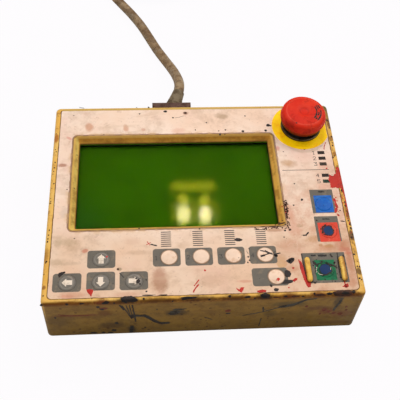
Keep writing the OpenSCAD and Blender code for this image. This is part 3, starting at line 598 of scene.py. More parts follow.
def shapesPiece(name, shapes, finish):
    # shapes: (outline, top height, thickness, holes) in mm, all made one mesh
    made = bmesh.new()
    for facts in shapes:
        flatShape(made, *facts)
    return finishPiece(name, meshFrom(name, made), finishes[finish], "case")


# Materials of the case and the front

filmTop = 55.95                 # mm, the height of the printed film
filmFacts = {
    "base": (247, 229, 215), "warm": (242, 214, 193), "rose": (238, 206, 192),
    "soil": (150, 112, 80), "dark": (40, 26, 20), "grime": (176, 146, 118), "edge": (118, 72, 30),
    "outline": ((0, 0.0006, 0), (0.1152, 0.0906, 0), 0.003),
    "hole": ((-0.018, 0.0145, 0), (0.0864, 0.0482, 0), 0.005),
    # marks that have soaked in: place and radii in mm, turn in degrees, ragged, soft, colour, strength
    "stains": [
        ((-33.4, -77), (5.6, 10.5), 3, 0.9, 0.4, (168, 104, 66), 0.62),
        ((-89.4, -50.7), (2.3, 1.7), 20, 0.6, 0.4, (214, 92, 62), 0.62),
        ((68.6, -17.5), (2.6, 6), 0, 1.2, 0.5, (222, 140, 124), 0.5),
        ((79, 27.5), (5, 3), 10, 1.4, 0.5, (190, 150, 110), 0.45),
        ((-90.7, 71.4), (3.2, 4.6), 12, 1, 0.4, (206, 146, 112), 0.7),
        ((-59.4, 69.5), (2.2, 3.8), 5, 1, 0.4, (206, 150, 116), 0.7),
        ((-44.4, 67.5), (2, 1.6), 5, 1, 0.4, (206, 150, 126), 0.6),
        ((-7.3, 85.5), (2.2, 1.8), 0, 1, 0.4, (178, 138, 116), 0.8),
        ((-63.4, -67), (1.8, 1.3), 0, 0.9, 0.3, (150, 136, 112), 0.8),
        ((-111, 30.8), (3.6, 1.8), 0, 0.9, 0.35, (160, 96, 66), 0.72),
        ((-107, 59.3), (2.6, 1.2), -35, 1, 0.4, (222, 140, 130), 0.6),
        ((24, 81.5), (5.4, 3), -12, 1.5, 0.5, (150, 124, 84), 0.5),
        ((58, -62.5), (5, 3.4), 20, 1.5, 0.5, (206, 160, 110), 0.6),
        ((88, -45), (7, 2.6), 10, 1.5, 0.5, (206, 164, 112), 0.55),
        ((106.5, -50), (3.6, 3.6), 0, 1.4, 0.5, (224, 150, 130), 0.6),
        ((72, -33.5), (6, 8.5), 30, 1.6, 0.5, (222, 158, 134), 0.45),
        ((111.5, -58.5), (3, 1.2), 0, 1.2, 0.5, (226, 80, 60), 0.5),
        ((104, 4.5), (7, 3), 0, 1.5, 0.5, (226, 160, 140), 0.4),
        ((38, -24), (6, 2.4), 0, 1.4, 0.5, (150, 116, 84), 0.35),
        ((-100, -45), (5, 6), 35, 1.7, 0.5, (196, 170, 138), 0.4),
        ((-97, -87), (10, 2.2), 0, 1.4, 0.5, (216, 148, 120), 0.4),
        ((-58, -88), (9, 2), 0, 1.4, 0.5, (216, 148, 120), 0.35),
        ((4, -78), (8, 5), 10, 1.8, 0.5, (214, 182, 160), 0.5),
        ((110.5, -52), (3.4, 5.5), 0, 1.5, 0.5, (208, 130, 92), 0.6),
        ((111.8, -66), (2.4, 9), 4, 1.3, 0.5, (206, 150, 108), 0.6),
        ((110.5, -84.5), (4, 3), 0, 1.5, 0.5, (208, 140, 104), 0.5),
        ((96, -53.5), (9, 2.4), 5, 1.5, 0.5, (214, 160, 120), 0.5),
        ((66, -71), (4.5, 3), 0, 1.6, 0.5, (214, 160, 124), 0.5),
        ((59.3, -66.4), (4.2, 3.4), 0, 0.6, 0.2, (226, 188, 142), 0.9),
        ((108.6, -55.4), (4, 2), 0, 1.3, 0.5, (216, 104, 88), 0.6),
        ((112.9, -58.3), (2, 4.5), 0, 1.3, 0.5, (206, 110, 90), 0.5),
        ((97.8, -52.1), (4, 1.6), 0, 1.3, 0.4, (206, 158, 98), 0.7),
        ((91.6, -51.2), (1.6, 1.3), 0, 1, 0.4, (196, 150, 100), 0.7),
        ((78, -33), (2.6, 1.6), 0, 1.2, 0.5, (206, 178, 150), 0.7),
        ((70.6, -20.5), (4, 7), 0, 1.4, 0.5, (214, 146, 116), 0.55),
        ((57.6, -36.4), (6.5, 1.6), 0, 1.2, 0.4, (170, 120, 84), 0.6),
        ((69.4, -52), (9, 6), 0, 1.6, 0.6, (226, 176, 156), 0.5),
        ((112.3, -79.9), (2.6, 7), 0, 1.4, 0.5, (226, 180, 160), 0.5),
        ((29.8, -80.2), (5, 1.2), 0, 1.4, 0.5, (214, 140, 120), 0.5),
        ((-104.4, -42.8), (9, 3), 0, 1.6, 0.6, (206, 186, 160), 0.55),
        ((-110.3, -59.9), (6, 2.6), 0, 1.6, 0.6, (196, 176, 150), 0.55),
        ((-101, -61.2), (8, 1.4), 0, 1.5, 0.5, (206, 186, 166), 0.5),
        ((-110.5, -42.6), (3, 5), 0, 1.5, 0.6, (200, 180, 156), 0.5),
        ((-48.9, -53.3), (9, 1.8), 0, 1.6, 0.6, (210, 184, 160), 0.5),
        ((-53.6, -43.2), (6, 3), 0, 1.6, 0.6, (226, 196, 176), 0.5),
        ((-100.9, -88.4), (5, 1.4), 0, 1.4, 0.5, (222, 150, 130), 0.5),
        ((-106.8, -15.5), (3, 5), 0, 1.5, 0.5, (206, 188, 176), 0.5),
        ((75.4, 29.1), (4.4, 3), 0, 1.3, 0.45, (206, 168, 128), 0.7),
        ((69.7, 44.7), (1.6, 2.4), 0, 1.2, 0.5, (226, 130, 130), 0.6),
        ((105.5, 24.9), (4, 3), 0, 1.5, 0.6, (226, 170, 150), 0.5),
        ((-14, 66), (6, 3), 0, 1.7, 0.5, (226, 178, 158), 0.5),
    ],
}
caseFacts = {
    "yellow": (234, 184, 86), "wallShade": (152, 116, 46), "slopeShade": (206, 150, 56),
    "dark": (28, 18, 12), "rubbed": (236, 196, 110), "olive": (206, 174, 92),
    "well": ((-0.018, 0.0145, 0), (0.0852, 0.04705, 0), 0.004),
    "seat": ((0, 0.0006, 0), (0.1153, 0.0907, 0), 0.003),
    # soft dirt on walls and rim: place and radii in mm, ragged, soft, colour, strength
    "stains": [
        ((-21, -94.3, 34.6), (8, 9, 4.5), 1.2, 0.5, (44, 38, 30), 0.75),
        ((-70.9, -94.3, 16.3), (9, 9, 5), 1.4, 0.5, (60, 40, 24), 0.6),
        ((-55.9, -94.3, 7.2), (3, 9, 6), 1.2, 0.5, (30, 28, 22), 0.7),
        ((-75.4, -94.3, 38.9), (5, 9, 5), 1.4, 0.5, (92, 46, 26), 0.6),
        ((-99.3, -94.3, 35.5), (13, 9, 1.6), 0.8, 0.5, (116, 50, 28), 0.7),
        ((-109.2, -94.3, 27.2), (10, 9, 8), 1.6, 0.6, (74, 54, 26), 0.5),
        ((-84.5, -94.3, 36.1), (4, 9, 2), 1.2, 0.5, (116, 60, 40), 0.6),
        ((94.1, -94.3, 29.3), (6, 9, 5), 1.6, 0.5, (112, 54, 32), 0.7),
        ((107.8, -94.3, 23.6), (8, 9, 5), 1.6, 0.5, (112, 58, 36), 0.6),
        ((87.2, -94.3, 34.4), (10, 9, 3), 1.6, 0.5, (104, 60, 36), 0.5),
        ((100.4, -94.3, 45.3), (3.4, 9, 9), 0.9, 0.5, (50, 42, 34), 0.7),
        ((62.5, -94.3, 43.8), (12, 9, 4), 1.2, 0.5, (62, 58, 42), 0.6),
        ((50.7, -94.3, 28.2), (5, 9, 5), 1.4, 0.5, (66, 56, 34), 0.5),
        ((104.6, -94.3, 7.8), (14, 9, 3), 1.4, 0.5, (96, 64, 36), 0.5),
        ((104, -93, 56), (10, 3, 2.4), 1.2, 0.5, (92, 40, 14), 0.9),
        ((84, -93, 56), (6, 3, 1.8), 1.4, 0.5, (112, 54, 16), 0.8),
        ((62, -93, 55), (6, 3, 1.8), 1.4, 0.5, (104, 50, 14), 0.8),
        ((44, -93, 55.5), (6, 3, 2.6), 1.4, 0.5, (50, 34, 12), 0.8),
        ((-57, -93, 56), (8, 3, 2.6), 1.3, 0.5, (44, 26, 10), 0.8),
        ((-76, -93, 54.6), (5, 3, 1.8), 1.3, 0.5, (104, 38, 20), 0.8),
        ((-100, -93, 54.6), (12, 3, 1.4), 1.4, 0.5, (120, 70, 16), 0.7),
        ((-36, -93, 55), (12, 3, 1.6), 1.4, 0.5, (84, 50, 12), 0.75),
        ((-5, -93, 55), (12, 3, 1.6), 1.4, 0.5, (76, 44, 12), 0.75),
        ((22, -93, 55), (9, 3, 1.6), 1.4, 0.5, (92, 54, 12), 0.75),
        ((-117.8, 59.5, 56), (1.8, 4.5, 9), 0.8, 0.3, (170, 96, 22), 0.85),
        ((-118.4, -53.2, 56), (1.8, 5.5, 9), 1.2, 0.5, (150, 96, 24), 0.6),
        ((-118.2, -80.3, 56), (1.6, 1.6, 9), 0.8, 0.4, (140, 84, 24), 0.8),
        ((117.8, -42.8, 56), (2.6, 4.5, 9), 1, 0.3, (92, 60, 40), 0.9),
        ((117.6, -74.7, 56), (2, 3, 9), 1, 0.3, (96, 66, 34), 0.85),
        ((118.1, -21.8, 56), (1.8, 8, 9), 1.4, 0.4, (120, 46, 20), 0.7),
        ((118.8, 89.1, 56), (3, 5, 9), 1.2, 0.4, (84, 72, 30), 0.85),
        ((119.2, 76.1, 56), (3, 9, 9), 1.4, 0.4, (112, 88, 36), 0.75),
        ((119.6, 69.7, 56), (2.6, 5, 9), 1.2, 0.4, (120, 70, 36), 0.7),
        ((117.6, 54.7, 56), (2.2, 2.4, 9), 1, 0.3, (150, 100, 40), 0.8),
        ((118.2, 38.2, 56), (2, 2.2, 9), 1, 0.3, (150, 96, 36), 0.85),
    ],
}


def onFilm(x, y):
    return (x * mm, y * mm, filmTop * mm)


def flatRadii(x, y):
    return (x * mm, y * mm, 0.01)


def makeFilmFinish():
    d = startMaterial("printedFilm", 0.42, coat=0.12, coatRough=0.35)
    x, y = d.axes()[:2]
    broad = d.noise(16.0, 4.0, 0.6)
    d.colour = d.blend(d.ramp(broad, 0.38, 0.68), filmFacts["base"], filmFacts["warm"])
    rose = d.noise(24.0, 4.0, 0.6, at=d.vector("ADD", d.place, (0.31, 0.12, 0.0)))
    d.lay(d.ramp(rose, 0.5, 0.72), filmFacts["rose"], 0.8)
    for at, radii, turn, rough, soft, colour, strength in filmFacts["stains"]:
        d.lay(d.mask("stain", onFilm(*at), flatRadii(*radii), math.radians(-turn), rough, soft), colour, strength)
    smudge = d.mask("grime", 42.0, 0.26, 0.2, 2.0)
    d.lay(smudge, filmFacts["grime"], 0.36)
    cloud = d.noise(62.0, 5.0, 0.65, 0.6, d.vector("MULTIPLY", d.place, (0.55, 1.4, 1.0)))
    d.lay(d.ramp(cloud, 0.50, 0.72), (214, 188, 164), 0.5)
    d.wear(("grime", (260.0, 0.2, 0.1, 5.0), filmFacts["soil"], 0.22))
    # a busier, browner zone to the right of the screen and below it
    right = d.times(d.ramp(x, 0.045, 0.075), d.ramp(y, 0.035, -0.02))
    d.lay(d.times(right, d.mask("grime", 95.0, 0.42, 0.2, 9.0)), (214, 158, 128), 0.5)
    side = d.ramp(d.plus(x, d.fit(broad, 0.03, -0.015)), 0.040, 0.082)
    d.lay(d.times(side, d.ramp(y, 0.052, 0.020)), (0.93, 0.88, 0.85, 1.0), 0.85, "MULTIPLY")
    low = d.ramp(d.plus(y, d.fit(rose, 0.04, -0.02)), -0.015, -0.050)
    d.lay(low, (0.88, 0.81, 0.73, 1.0), 0.95, "MULTIPLY")
    edge = d.mask("outline", *filmFacts["outline"])
    uneven = d.noise(150.0)
    d.lay(d.ramp(d.plus(edge, d.fit(uneven, 0.0020, -0.0010)), -0.0003, 0.0), filmFacts["edge"], 0.8)
    # paint that has crept over the film's back edge
    crept = d.plus(y, d.fit(uneven, 0.0006, -0.0003))
    d.lay(d.ramp(crept, 0.0897, 0.0899), (112, 70, 30), 0.8)
    d.lay(d.ramp(crept, 0.0899, 0.0901), caseFacts["olive"])
    hole = d.mask("outline", *filmFacts["hole"])
    d.lay(d.ramp(d.plus(hole, d.fit(uneven, -0.0022, 0.0011)), 0.0004, 0.0), filmFacts["edge"], 0.8)
    d.lay(d.times(d.ramp(hole, 0.0040, 0.0002), d.ramp(uneven, 0.45, 0.65)), (214, 178, 130), 0.5)
    scuffed = d.mask("scuffs", 46.0, 0.005, 0.55, 0.5)
    d.lay(scuffed, filmFacts["soil"], 0.34)
    d.wear(("scuffs", (70.0, 0.006, 0.4, 1.9), (250, 238, 226), 0.4),
           ("specks", (130.0, 0.085, 0.2), filmFacts["dark"], 0.85),
           ("specks", (380.0, 0.16, 0.12), filmFacts["soil"], 0.7))
    grain = d.noise(1500.0, 2.0)
    lift = d.plus(d.times(grain, 0.3), d.times(scuffed, -0.5))
    return endMaterial(d, d.fit(smudge, 0.18, d.fit(grain, 0.1, 0.36)), lift, 0.00005)


def wallTone(d, x, y, z, mottled):
    # the outer walls: painted shade, a darker tone than the rim, under a coat of shop dirt
    streaks = d.noise(60.0, 5.0, 0.65, 0.5, d.vector("MULTIPLY", d.place, (0.35, 1.0, 1.6)))
    rim, d.colour = d.colour, d.blend(d.ramp(streaks, 0.34, 0.7), caseFacts["wallShade"], (132, 98, 40))
    # painted shade: darker towards the bottom
    d.lay(d.ramp(z, 0.050, 0.0), (122, 98, 42), 0.5)
    d.lay(mottled, (96, 66, 28), 0.4)
    d.wear(("grime", (34.0, 0.3, 0.2, 40.0), (92, 72, 34), 0.35),
           ("specks", (190.0, 0.3, 0.2), (60, 34, 24), 0.7),
           ("scuffs", (38.0, 0.006, 0.5, 0.1), (52, 42, 30), 0.6))
    # darker towards the right end
    dim = d.times(d.ramp(x, 0.100, 0.122), d.ramp(y, -0.090, -0.093))
    d.lay(dim, (0.62, 0.62, 0.62, 1.0), 0.6, "MULTIPLY")
    wall, d.colour = d.colour, rim
    return wall


def wellTone(d, x, y, z, inside):
    # the screen well: painted shade on its back slope, painted highlights on its left slope and along its lip, brown
    # dirt and a dark foot
    rim = d.colour
    # painted shade: the back slope is a darker orange
    d.colour = d.blend(d.times(inside, d.ramp(y, 0.055, 0.0595)), caseFacts["yellow"], caseFacts["slopeShade"])
    # painted highlight on the outer part of the left slope
    d.lay(d.ramp(x, -0.0985, -0.1000), (226, 206, 116), 0.8)
    d.wear(("grime", (60.0, 0.44, 0.16, 61.0), (150, 98, 36), 0.6))
    # painted highlight along the well's upper lip
    d.lay(d.ramp(z, 0.0540, 0.0552), (238, 194, 106), 0.7)
    d.lay(d.ramp(z, 0.0518, 0.0505), (84, 58, 24), 0.8)
    slope, d.colour = d.colour, rim
    return slope


def makeCaseFinish():
    d = startMaterial("paintedCase", 0.45, shine=0.2)
    x, y, z = d.axes()
    d.colour = d.blend(d.ramp(d.noise(22.0, 4.0, 0.6), 0.35, 0.66), caseFacts["yellow"], caseFacts["rubbed"])
    d.wear(("grime", (55.0, 0.36, 0.16, 3.0), (216, 160, 66), 0.5))
    patch = d.mask("grime", 88.0, 0.24, 0.12, 14.0)
    d.lay(patch, (150, 96, 36), 0.6)
    # the right rim is far dirtier than the rest
    d.lay(d.times(d.ramp(x, 0.1145, 0.1165), d.mask("grime", 85.0, 0.34, 0.12, 21.0)), (120, 80, 34), 0.8)
    d.lay(d.ramp(y, 0.0902, 0.0912), caseFacts["olive"], 0.7)
    d.lay(d.times(d.ramp(x, -0.1145, -0.1165), d.mask("specks", 110.0, 0.34, 0.3)), (110, 62, 26), 0.7)
    outer = d.most(d.ramp(y, -0.0932, -0.0940), d.ramp(d.calc("ABSOLUTE", x), 0.1184, 0.1196))
    mottled = d.mask("grime", 120.0, 0.4, 0.14, 33.0)
    d.lay(d.times(outer, d.ramp(z, 0.0545, 0.0520)), wallTone(d, x, y, z, mottled))
    # a darker brown band where the rim turns into the front wall, with patchy dark dirt over it
    frontEdge = d.times(d.ramp(y, -0.0915, -0.0934), d.ramp(z, 0.0508, 0.0535))
    d.lay(frontEdge, (160, 104, 8), 0.8)
    d.lay(d.times(frontEdge, d.mask("grime", 75.0, 0.62, 0.2, 51.0)), (92, 50, 6), 0.85)
    well = d.mask("outline", *caseFacts["well"])
    inside = d.ramp(well, 0.0001, -0.0003)
    d.lay(inside, wellTone(d, x, y, z, inside))
    # dark lines where the well meets its lip and round the film's seat
    wobble = d.fit(d.noise(170.0), 0.0010, -0.0005)
    lip = d.ramp(d.calc("ABSOLUTE", d.plus(well, wobble)), 0.0006, 0.0002)
    d.lay(d.times(lip, d.ramp(z, 0.054, 0.0552)), (92, 58, 26), 0.6)
    film = d.mask("outline", *caseFacts["seat"])
    seat = d.times(d.ramp(d.plus(film, wobble), 0.0007, 0.0001), d.ramp(y, 0.0906, 0.0902))
    d.lay(d.times(seat, d.ramp(film, -0.0016, -0.0006)), (96, 58, 20), 0.85)
    for at, radii, rough, soft, colour, strength in caseFacts["stains"]:
        spot, size = [tuple(v * mm for v in values) for values in (at, radii)]
        d.lay(d.mask("stain", spot, size, 0.0, rough, soft), colour, strength)
    d.wear(("specks", (230.0, 0.16, 0.22), caseFacts["dark"], 0.85),
           ("scuffs", (52.0, 0.005, 0.5, 1.2), (120, 84, 36), 0.5))
    grain = d.noise(900.0, 3.0)
    lift = d.plus(grain, d.times(mottled, 0.5))
    return endMaterial(d, d.fit(patch, 0.2, d.fit(grain, 0.12, 0.38)), lift, 0.00008, 0.55)


def makeInk(name, base, worn, share=0.3, rough=0.45, spot=None, ring=None, paintedGlow=0.0):
    # Printed ink with rubbed patches. spot: place, radius, colour, rim colour, ragged; ring: dirt round a dome's foot
    d = startMaterial(name, rough, shine=0.18)
    tone = d.noise(90.0, 4.0, 0.6)
    d.colour = d.blend(d.ramp(tone, 0.3, 0.72), base, shade(base, 0.86))
    d.wear(("grime", (170.0, share, 0.12, 7.0), worn, 0.55),
           ("specks", (330.0, 0.2, 0.16), (30, 24, 22), 0.7),
           ("scuffs", (90.0, 0.012, 0.5, 0.9), worn, 0.5))
    if spot:
        at, radius, colour, rim, rag = spot
        mark = d.mask("stain", onFilm(*at), flatRadii(radius, radius), 0.0, 0.3, 0.03)
        wide = d.mask("stain", onFilm(*at), flatRadii(radius * 1.22, radius * 1.22), 0.0, rag * 1.7, 0.05)
        d.lay(wide, rim, 0.9)
        d.lay(mark, colour)
        d.lay(d.times(mark, d.ramp(tone, 0.5, 0.68)), shade(colour, 1.5), 0.7)
    if ring:
        d.lay(d.ramp(d.plus(d.axes()[2], d.times(tone, 0.0002)), 0.05642, 0.05630), ring, 0.75)
    if paintedGlow:                # painted light: the yellow glows a little, lifting it out of the stop head's shadow
        d.put(d.shader["Emission Color"], d.colour)
        d.put(d.shader["Emission Strength"], paintedGlow)
    grain = d.noise(1100.0, 3.0)
    lift = d.plus(d.noise(240.0, 3.0, 0.5, 0.6), d.times(grain, 0.3))
    return endMaterial(d, d.fit(grain, 0.12, rough - 0.06), lift, 0.00018)


arrowFacts = {
    "sizes": (7.8, 6.7, 3.8, 3.4),      # mm: length, head, shaft, neck
    "turns": {"up": 0, "left": -90, "down": 180, "right": 90},
    "rings": ((0.0061, (104, 102, 100)), (0.0048, (146, 142, 136))),
}


def makeArrowDome(name, at, pointing):
    d = startMaterial(name + "Print", 0.42)
    tone = d.noise(90.0, 4.0, 0.6)
    d.colour = d.blend(d.ramp(tone, 0.3, 0.72), (118, 116, 110), (104, 100, 94))
    away = d.awayFrom(onFilm(*at))
    for radius, colour in arrowFacts["rings"]:
        d.lay(d.times(d.ramp(d.offBy(away, radius), 0.0005, 0.0001), d.ramp(tone, 0.3, 0.6)), colour, 0.8)
    turn = math.radians(arrowFacts["turns"][pointing])
    sizes = [size * mm for size in arrowFacts["sizes"]]
    d.lay(d.mask("arrow", onFilm(*at), turn, *sizes, 0.0006), (238, 226, 212))
    d.wear(("grime", (260.0, 0.3, 0.12, 7.0), (150, 138, 122), 0.5),
           ("specks", (520.0, 0.2, 0.2), (40, 34, 32), 0.7))
    grain = d.noise(1100.0, 3.0)
    return endMaterial(d, d.fit(grain, 0.12, 0.36), grain, 0.0001)


inkTable = {
    "padGrey": ("greyPad", (110, 107, 100), (142, 128, 110)),
    "padBlue": ("bluePad", (4, 98, 200), (52, 130, 214), 0.4, 0.4),
    "padRed": ("redPad", (226, 72, 52), (236, 120, 96), 0.3, 0.45,
               ((99.8, -38.5), 3.9, (4, 54, 104), (24, 14, 20), 0.7)),
    "padGreen": ("greenPad", (14, 118, 78), (10, 74, 54), 0.4, 0.45,
                 ((91.9, -72.5), 4.3, (6, 48, 100), (12, 22, 16), 1.0)),
    "domeCream": ("creamDome", (250, 224, 204), (214, 172, 136), 0.3, 0.38, None, (132, 96, 66)),
    "ink": ("darkInk", (66, 62, 64), (130, 118, 108), 0.2),
    # the legend's last number is a painted glow that lifts it out of the stop head's shadow
    "legend": ("legendYellow", (255, 208, 0), (236, 150, 4), 0.34, 0.5, None, None, 0.26),
}
# name, colour, colour of the dirt, roughness, scale, reach of the dirt, metal, grain
plainTable = {
    "blackPaint": ("blackPaint", (22, 18, 20), (48, 34, 28), 0.4, 200.0),
    "redPaint": ("redPaint", (196, 34, 16), (150, 20, 10), 0.35, 180.0, 0.3),
    "brownPaint": ("brownPaint", (74, 40, 24), (34, 20, 14), 0.5, 180.0),
    "whiteChip": ("bareChip", (232, 226, 214), (180, 170, 150), 0.45, 300.0),
    "greyPaint": ("greyScuff", (66, 62, 56), (40, 34, 30), 0.55, 160.0),
    "driedRed": ("driedRed", (118, 52, 30), (86, 40, 24), 0.55, 170.0),
    "zinc": ("zincPlate", (186, 188, 192), (110, 98, 82), 0.35, 200.0, 0.4, 1.0, 1200.0),
    "blackPlastic": ("blackPlastic", (34, 33, 33), (74, 62, 50), 0.5, 90.0),
    # painted light: the black foam round the window is given a pale green, lifting its shadowed strip along the
    # screen's top edge
    "foam": ("blackFoam", (110, 160, 40), (100, 120, 40), 0.85, 150.0),
    "frameSteel": ("blackenedSteel", (70, 70, 72), (44, 38, 32), 0.42, 90.0, 0.4, 0.9),
    "gland": ("glandBrown", (92, 66, 56), (60, 34, 26), 0.5, 120.0, 0.5),
    "boot": ("bootGrey", (128, 116, 94), (70, 56, 40), 0.6, 140.0, 0.42),
    "plugMetal": ("nickel", (182, 182, 178), (106, 96, 80), 0.3, 130.0, 0.4, 1.0, 1500.0),
    "brass": ("goldFlash", (226, 186, 96), (150, 108, 48), 0.28, 240.0, 0.4, 1.0, 1800.0),
    "tie": ("tieBlack", (38, 37, 36), (70, 62, 50), 0.55, 160.0),
    "insert": ("insertPlastic", (52, 50, 48), (84, 72, 58), 0.5, 200.0),
    "cover": ("coverPaint", (196, 156, 82), (160, 122, 62), 0.5, 90.0, 0.36),
    "seal": ("sealRubber", (40, 38, 36), (70, 60, 50), 0.7, 150.0),
    "clearSheet": ("polyesterSheet", (196, 202, 206), (170, 168, 160), 0.35, 60.0, 0.2),
    "spring": ("springSteel", (196, 196, 196), (150, 146, 140), 0.3, 200.0, 0.2, 1.0),
    "board": ("solderResist", (28, 110, 62), (20, 74, 44), 0.35, 70.0, 0.3),
    "chip": ("chipBlack", (38, 38, 40), (70, 68, 64), 0.55, 160.0, 0.25),
    "ivory": ("ivoryNylon", (222, 212, 190), (180, 164, 136), 0.5, 120.0, 0.25),
    "backlight": ("diffuserWhite", (226, 228, 214), (196, 196, 176), 0.5, 60.0, 0.2),
    "harness": ("harnessJacket", (70, 70, 74), (50, 46, 42), 0.55, 160.0, 0.25),
}
finishes = {"film": makeFilmFinish(), "case": makeCaseFinish()}
finishes.update({key: makeInk(*facts) for key, facts in inkTable.items()})
finishes.update({key: simpleFinish(*facts) for key, facts in plainTable.items()})
report("materials of the case and the front")


# The case, film and keys

keyFacts = {
    "reach": 6.7,               # mm, hole in the film round a dome
    "crown": 56.65, "bow": 45.2, "bowTo": 6.0, "domeReach": 6.2,
    "padLift": 0.03,            # mm, what is painted beside a dome lies on its panel
    # place, finish, and where its arrow points
    "spots": {
        "key_up": (-77.0, -58.2, "domeGrey", "up"), "key_left": (-101.5, -77.2, "domeGrey", "left"),
        "key_down": (-77.0, -77.2, "domeGrey", "down"), "key_right": (-52.5, -77.2, "domeGrey", "right"),
        "key_f1": (-26.0, -58.2, "domeCream", ""), "key_f2": (-1.5, -58.2, "domeCream", ""),
        "key_f3": (23.0, -58.2, "domeCream", ""), "key_f4": (47.5, -58.2, "domeCream", ""),
        "key_enter": (53.8, -77.2, "domeCream", ""), "key_reset": (100.0, -13.0, "padBlue", ""),
        "key_pause": (100.0, -38.5, "padRed", ""), "key_start": (92.0, -72.5, "padGreen", ""),
    },
    "slots": {"domeGrey": "key_grey", "domeCream": "key_white", "padBlue": "key_blue", "padRed": "key_red",
              "padGreen": "key_green"},
}
dress("housing", "case", "case_yellow", 28)
dress("overlay_film", "film", "film_white", 28)
for key, (keyX, keyY, finish, pointing) in keyFacts["spots"].items():
    if pointing:
        finishes[key] = makeArrowDome(key, (keyX, keyY), pointing)
    dress(key, key if pointing else finish, keyFacts["slots"][finish], 50, key)
report("case, film and keys")

# printed panels on the film: corners in mm; those right of sharpFrom have nearly sharp corners
padFacts = {
    "round": 2.2, "sharpFrom": 70, "sharpRound": 0.5, "bulge": 0.35, "sink": 0.02,
    "sheets": {
        "greyPanels": ("padGrey", 0.03, [
            (-87.4, -65.8, -66.4, -50.6), (-112.1, -84.6, -91.1, -69.4), (-87.4, -84.1, -66.4, -68.9),
            (-63.1, -84.5, -42.1, -69.3), (-38.3, -65.8, -17.3, -50.6), (-13.8, -65.8, 7.2, -50.6),
            (10.8, -65.8, 31.8, -50.6), (35.3, -65.8, 56.3, -50.6), (35.6, -84.7, 62.5, -69.6),
            (90.2, -21.7, 109.1, 1.1), (90.1, -47.9, 109.1, -24.8), (75.4, -83.6, 108.8, -57.8)]),
        "bluePanel": ("padBlue", 0.06, [(92.8, -21.2, 107.6, -4.7)]),
        "redPanel": ("padRed", 0.06, [(92.1, -48.2, 108.1, -30.7)]),
        "greenPanel": ("padGreen", 0.06, [(84.2, -81.4, 99.8, -64.1)]),
    },
}


def domesIn(x0, y0, x1, y1):
    return [(x, y) for x, y, _, _ in keyFacts["spots"].values() if x0 < x < x1 and y0 < y < y1]


for name, (finish, lift, panels) in padFacts["sheets"].items():
    sheets = []
    for x0, y0, x1, y1 in panels:
        corner = padFacts["sharpRound"] if x0 > padFacts["sharpFrom"] else padFacts["round"]
        # a dome that reaches past its panel gives the panel a bulge round it
        reachOut = max([x + keyFacts["reach"] + padFacts["bulge"] for x, y in domesIn(x0, y0, x1, y1)] + [x1])
        holes = [circle(x, y, keyFacts["reach"]) for x, y in domesIn(x0, y0, reachOut, y1)]
        sheets.append((rounded(x0, y0, reachOut, y1, corner), filmTop + lift, lift + padFacts["sink"], holes))
    shapesPiece(name, sheets, finish)

# small plain numbers beside the lamps and under the bars, and the rule between the lamps
figureFacts = {
    "lamps": {"x": 98.6, "y": (37.6, 31.6, 25.6, 13.8, 7.8), "height": 3.4, "width": 0.42},
    "keys": {"x": (-36.8, -12.3, 12.3, 36.7), "y": -60.1, "height": 3.2, "width": 0.4},
    "rule": (70.8, 21.1, 110.2, 21.6),
    "thick": 0.05, "ruleLift": 0.03, "lift": 0.035, "stack": 0.002,     # each stroke lies a little over the last
}
strokes = {                     # each figure on a 0-4 by 0-6 grid
    "1": [((1, 5), (2, 6)), ((2, 6), (2, 0)), ((1, 0), (3, 0))],
    "2": [((0, 5), (1, 6)), ((1, 6), (3, 6)), ((3, 6), (4, 5)), ((4, 5), (4, 4)), ((4, 4), (0, 0)), ((0, 0), (4, 0))],
    "3": [((0, 6), (4, 6)), ((4, 6), (2, 3.6)), ((2, 3.6), (3.4, 3.4)), ((3.4, 3.4), (4, 2.4)), ((4, 2.4), (4, 1)),
          ((4, 1), (3, 0)), ((3, 0), (1, 0)), ((1, 0), (0, 1))],
    "4": [((3, 0), (3, 6)), ((3, 6), (0, 2)), ((0, 2), (4, 2))],
    "5": [((4, 6), (0.4, 6)), ((0.4, 6), (0.2, 3.4)), ((0.2, 3.4), (3, 3.6)), ((3, 3.6), (4, 2.6)), ((4, 2.6), (4, 1)),
          ((4, 1), (3, 0)), ((3, 0), (0, 0.3))],
}


def strokeOutline(a, b, width):
    dx, dy = b[0] - a[0], b[1] - a[1]
    size = math.hypot(dx, dy)
    nx, ny = -dy / size * width / 2, dx / size * width / 2
    ex, ey = dx / size * width / 2, dy / size * width / 2
    return [(a[0] - nx - ex, a[1] - ny - ey), (b[0] - nx + ex, b[1] - ny + ey),
            (b[0] + nx + ex, b[1] + ny + ey), (a[0] + nx - ex, a[1] + ny - ey)]


def figure(sign, x, y, height, width):
    unit = height / 6
    return [(strokeOutline((x + a[0] * unit, y + a[1] * unit), (x + b[0] * unit, y + b[1] * unit), width),
             filmTop + figureFacts["lift"] + figureFacts["stack"] * k, figureFacts["thick"])
            for k, (a, b) in enumerate(strokes[sign])]


printed = []
lampRow, keyRow = figureFacts["lamps"], figureFacts["keys"]
for number, y in enumerate(lampRow["y"]):
    printed += figure(str(number + 1), lampRow["x"], y, lampRow["height"], lampRow["width"])
for number, x in enumerate(keyRow["x"]):
    printed += figure(str(number + 1), x, keyRow["y"], keyRow["height"], keyRow["width"])
x0, y0, x1, y1 = figureFacts["rule"]
printed.append(([(x0, y0), (x1, y0), (x1, y1), (x0, y1)], filmTop + figureFacts["ruleLift"], figureFacts["thick"]))
shapesPiece("printedFigures", printed, "ink")

barFacts = {"x": (-27.9, -3.4, 21.5, 45.9), "from": -48.4, "bars": 8, "step": 1.8, "length": 7.8, "width": 0.72,
            "thick": 0.06, "lift": 0.02}


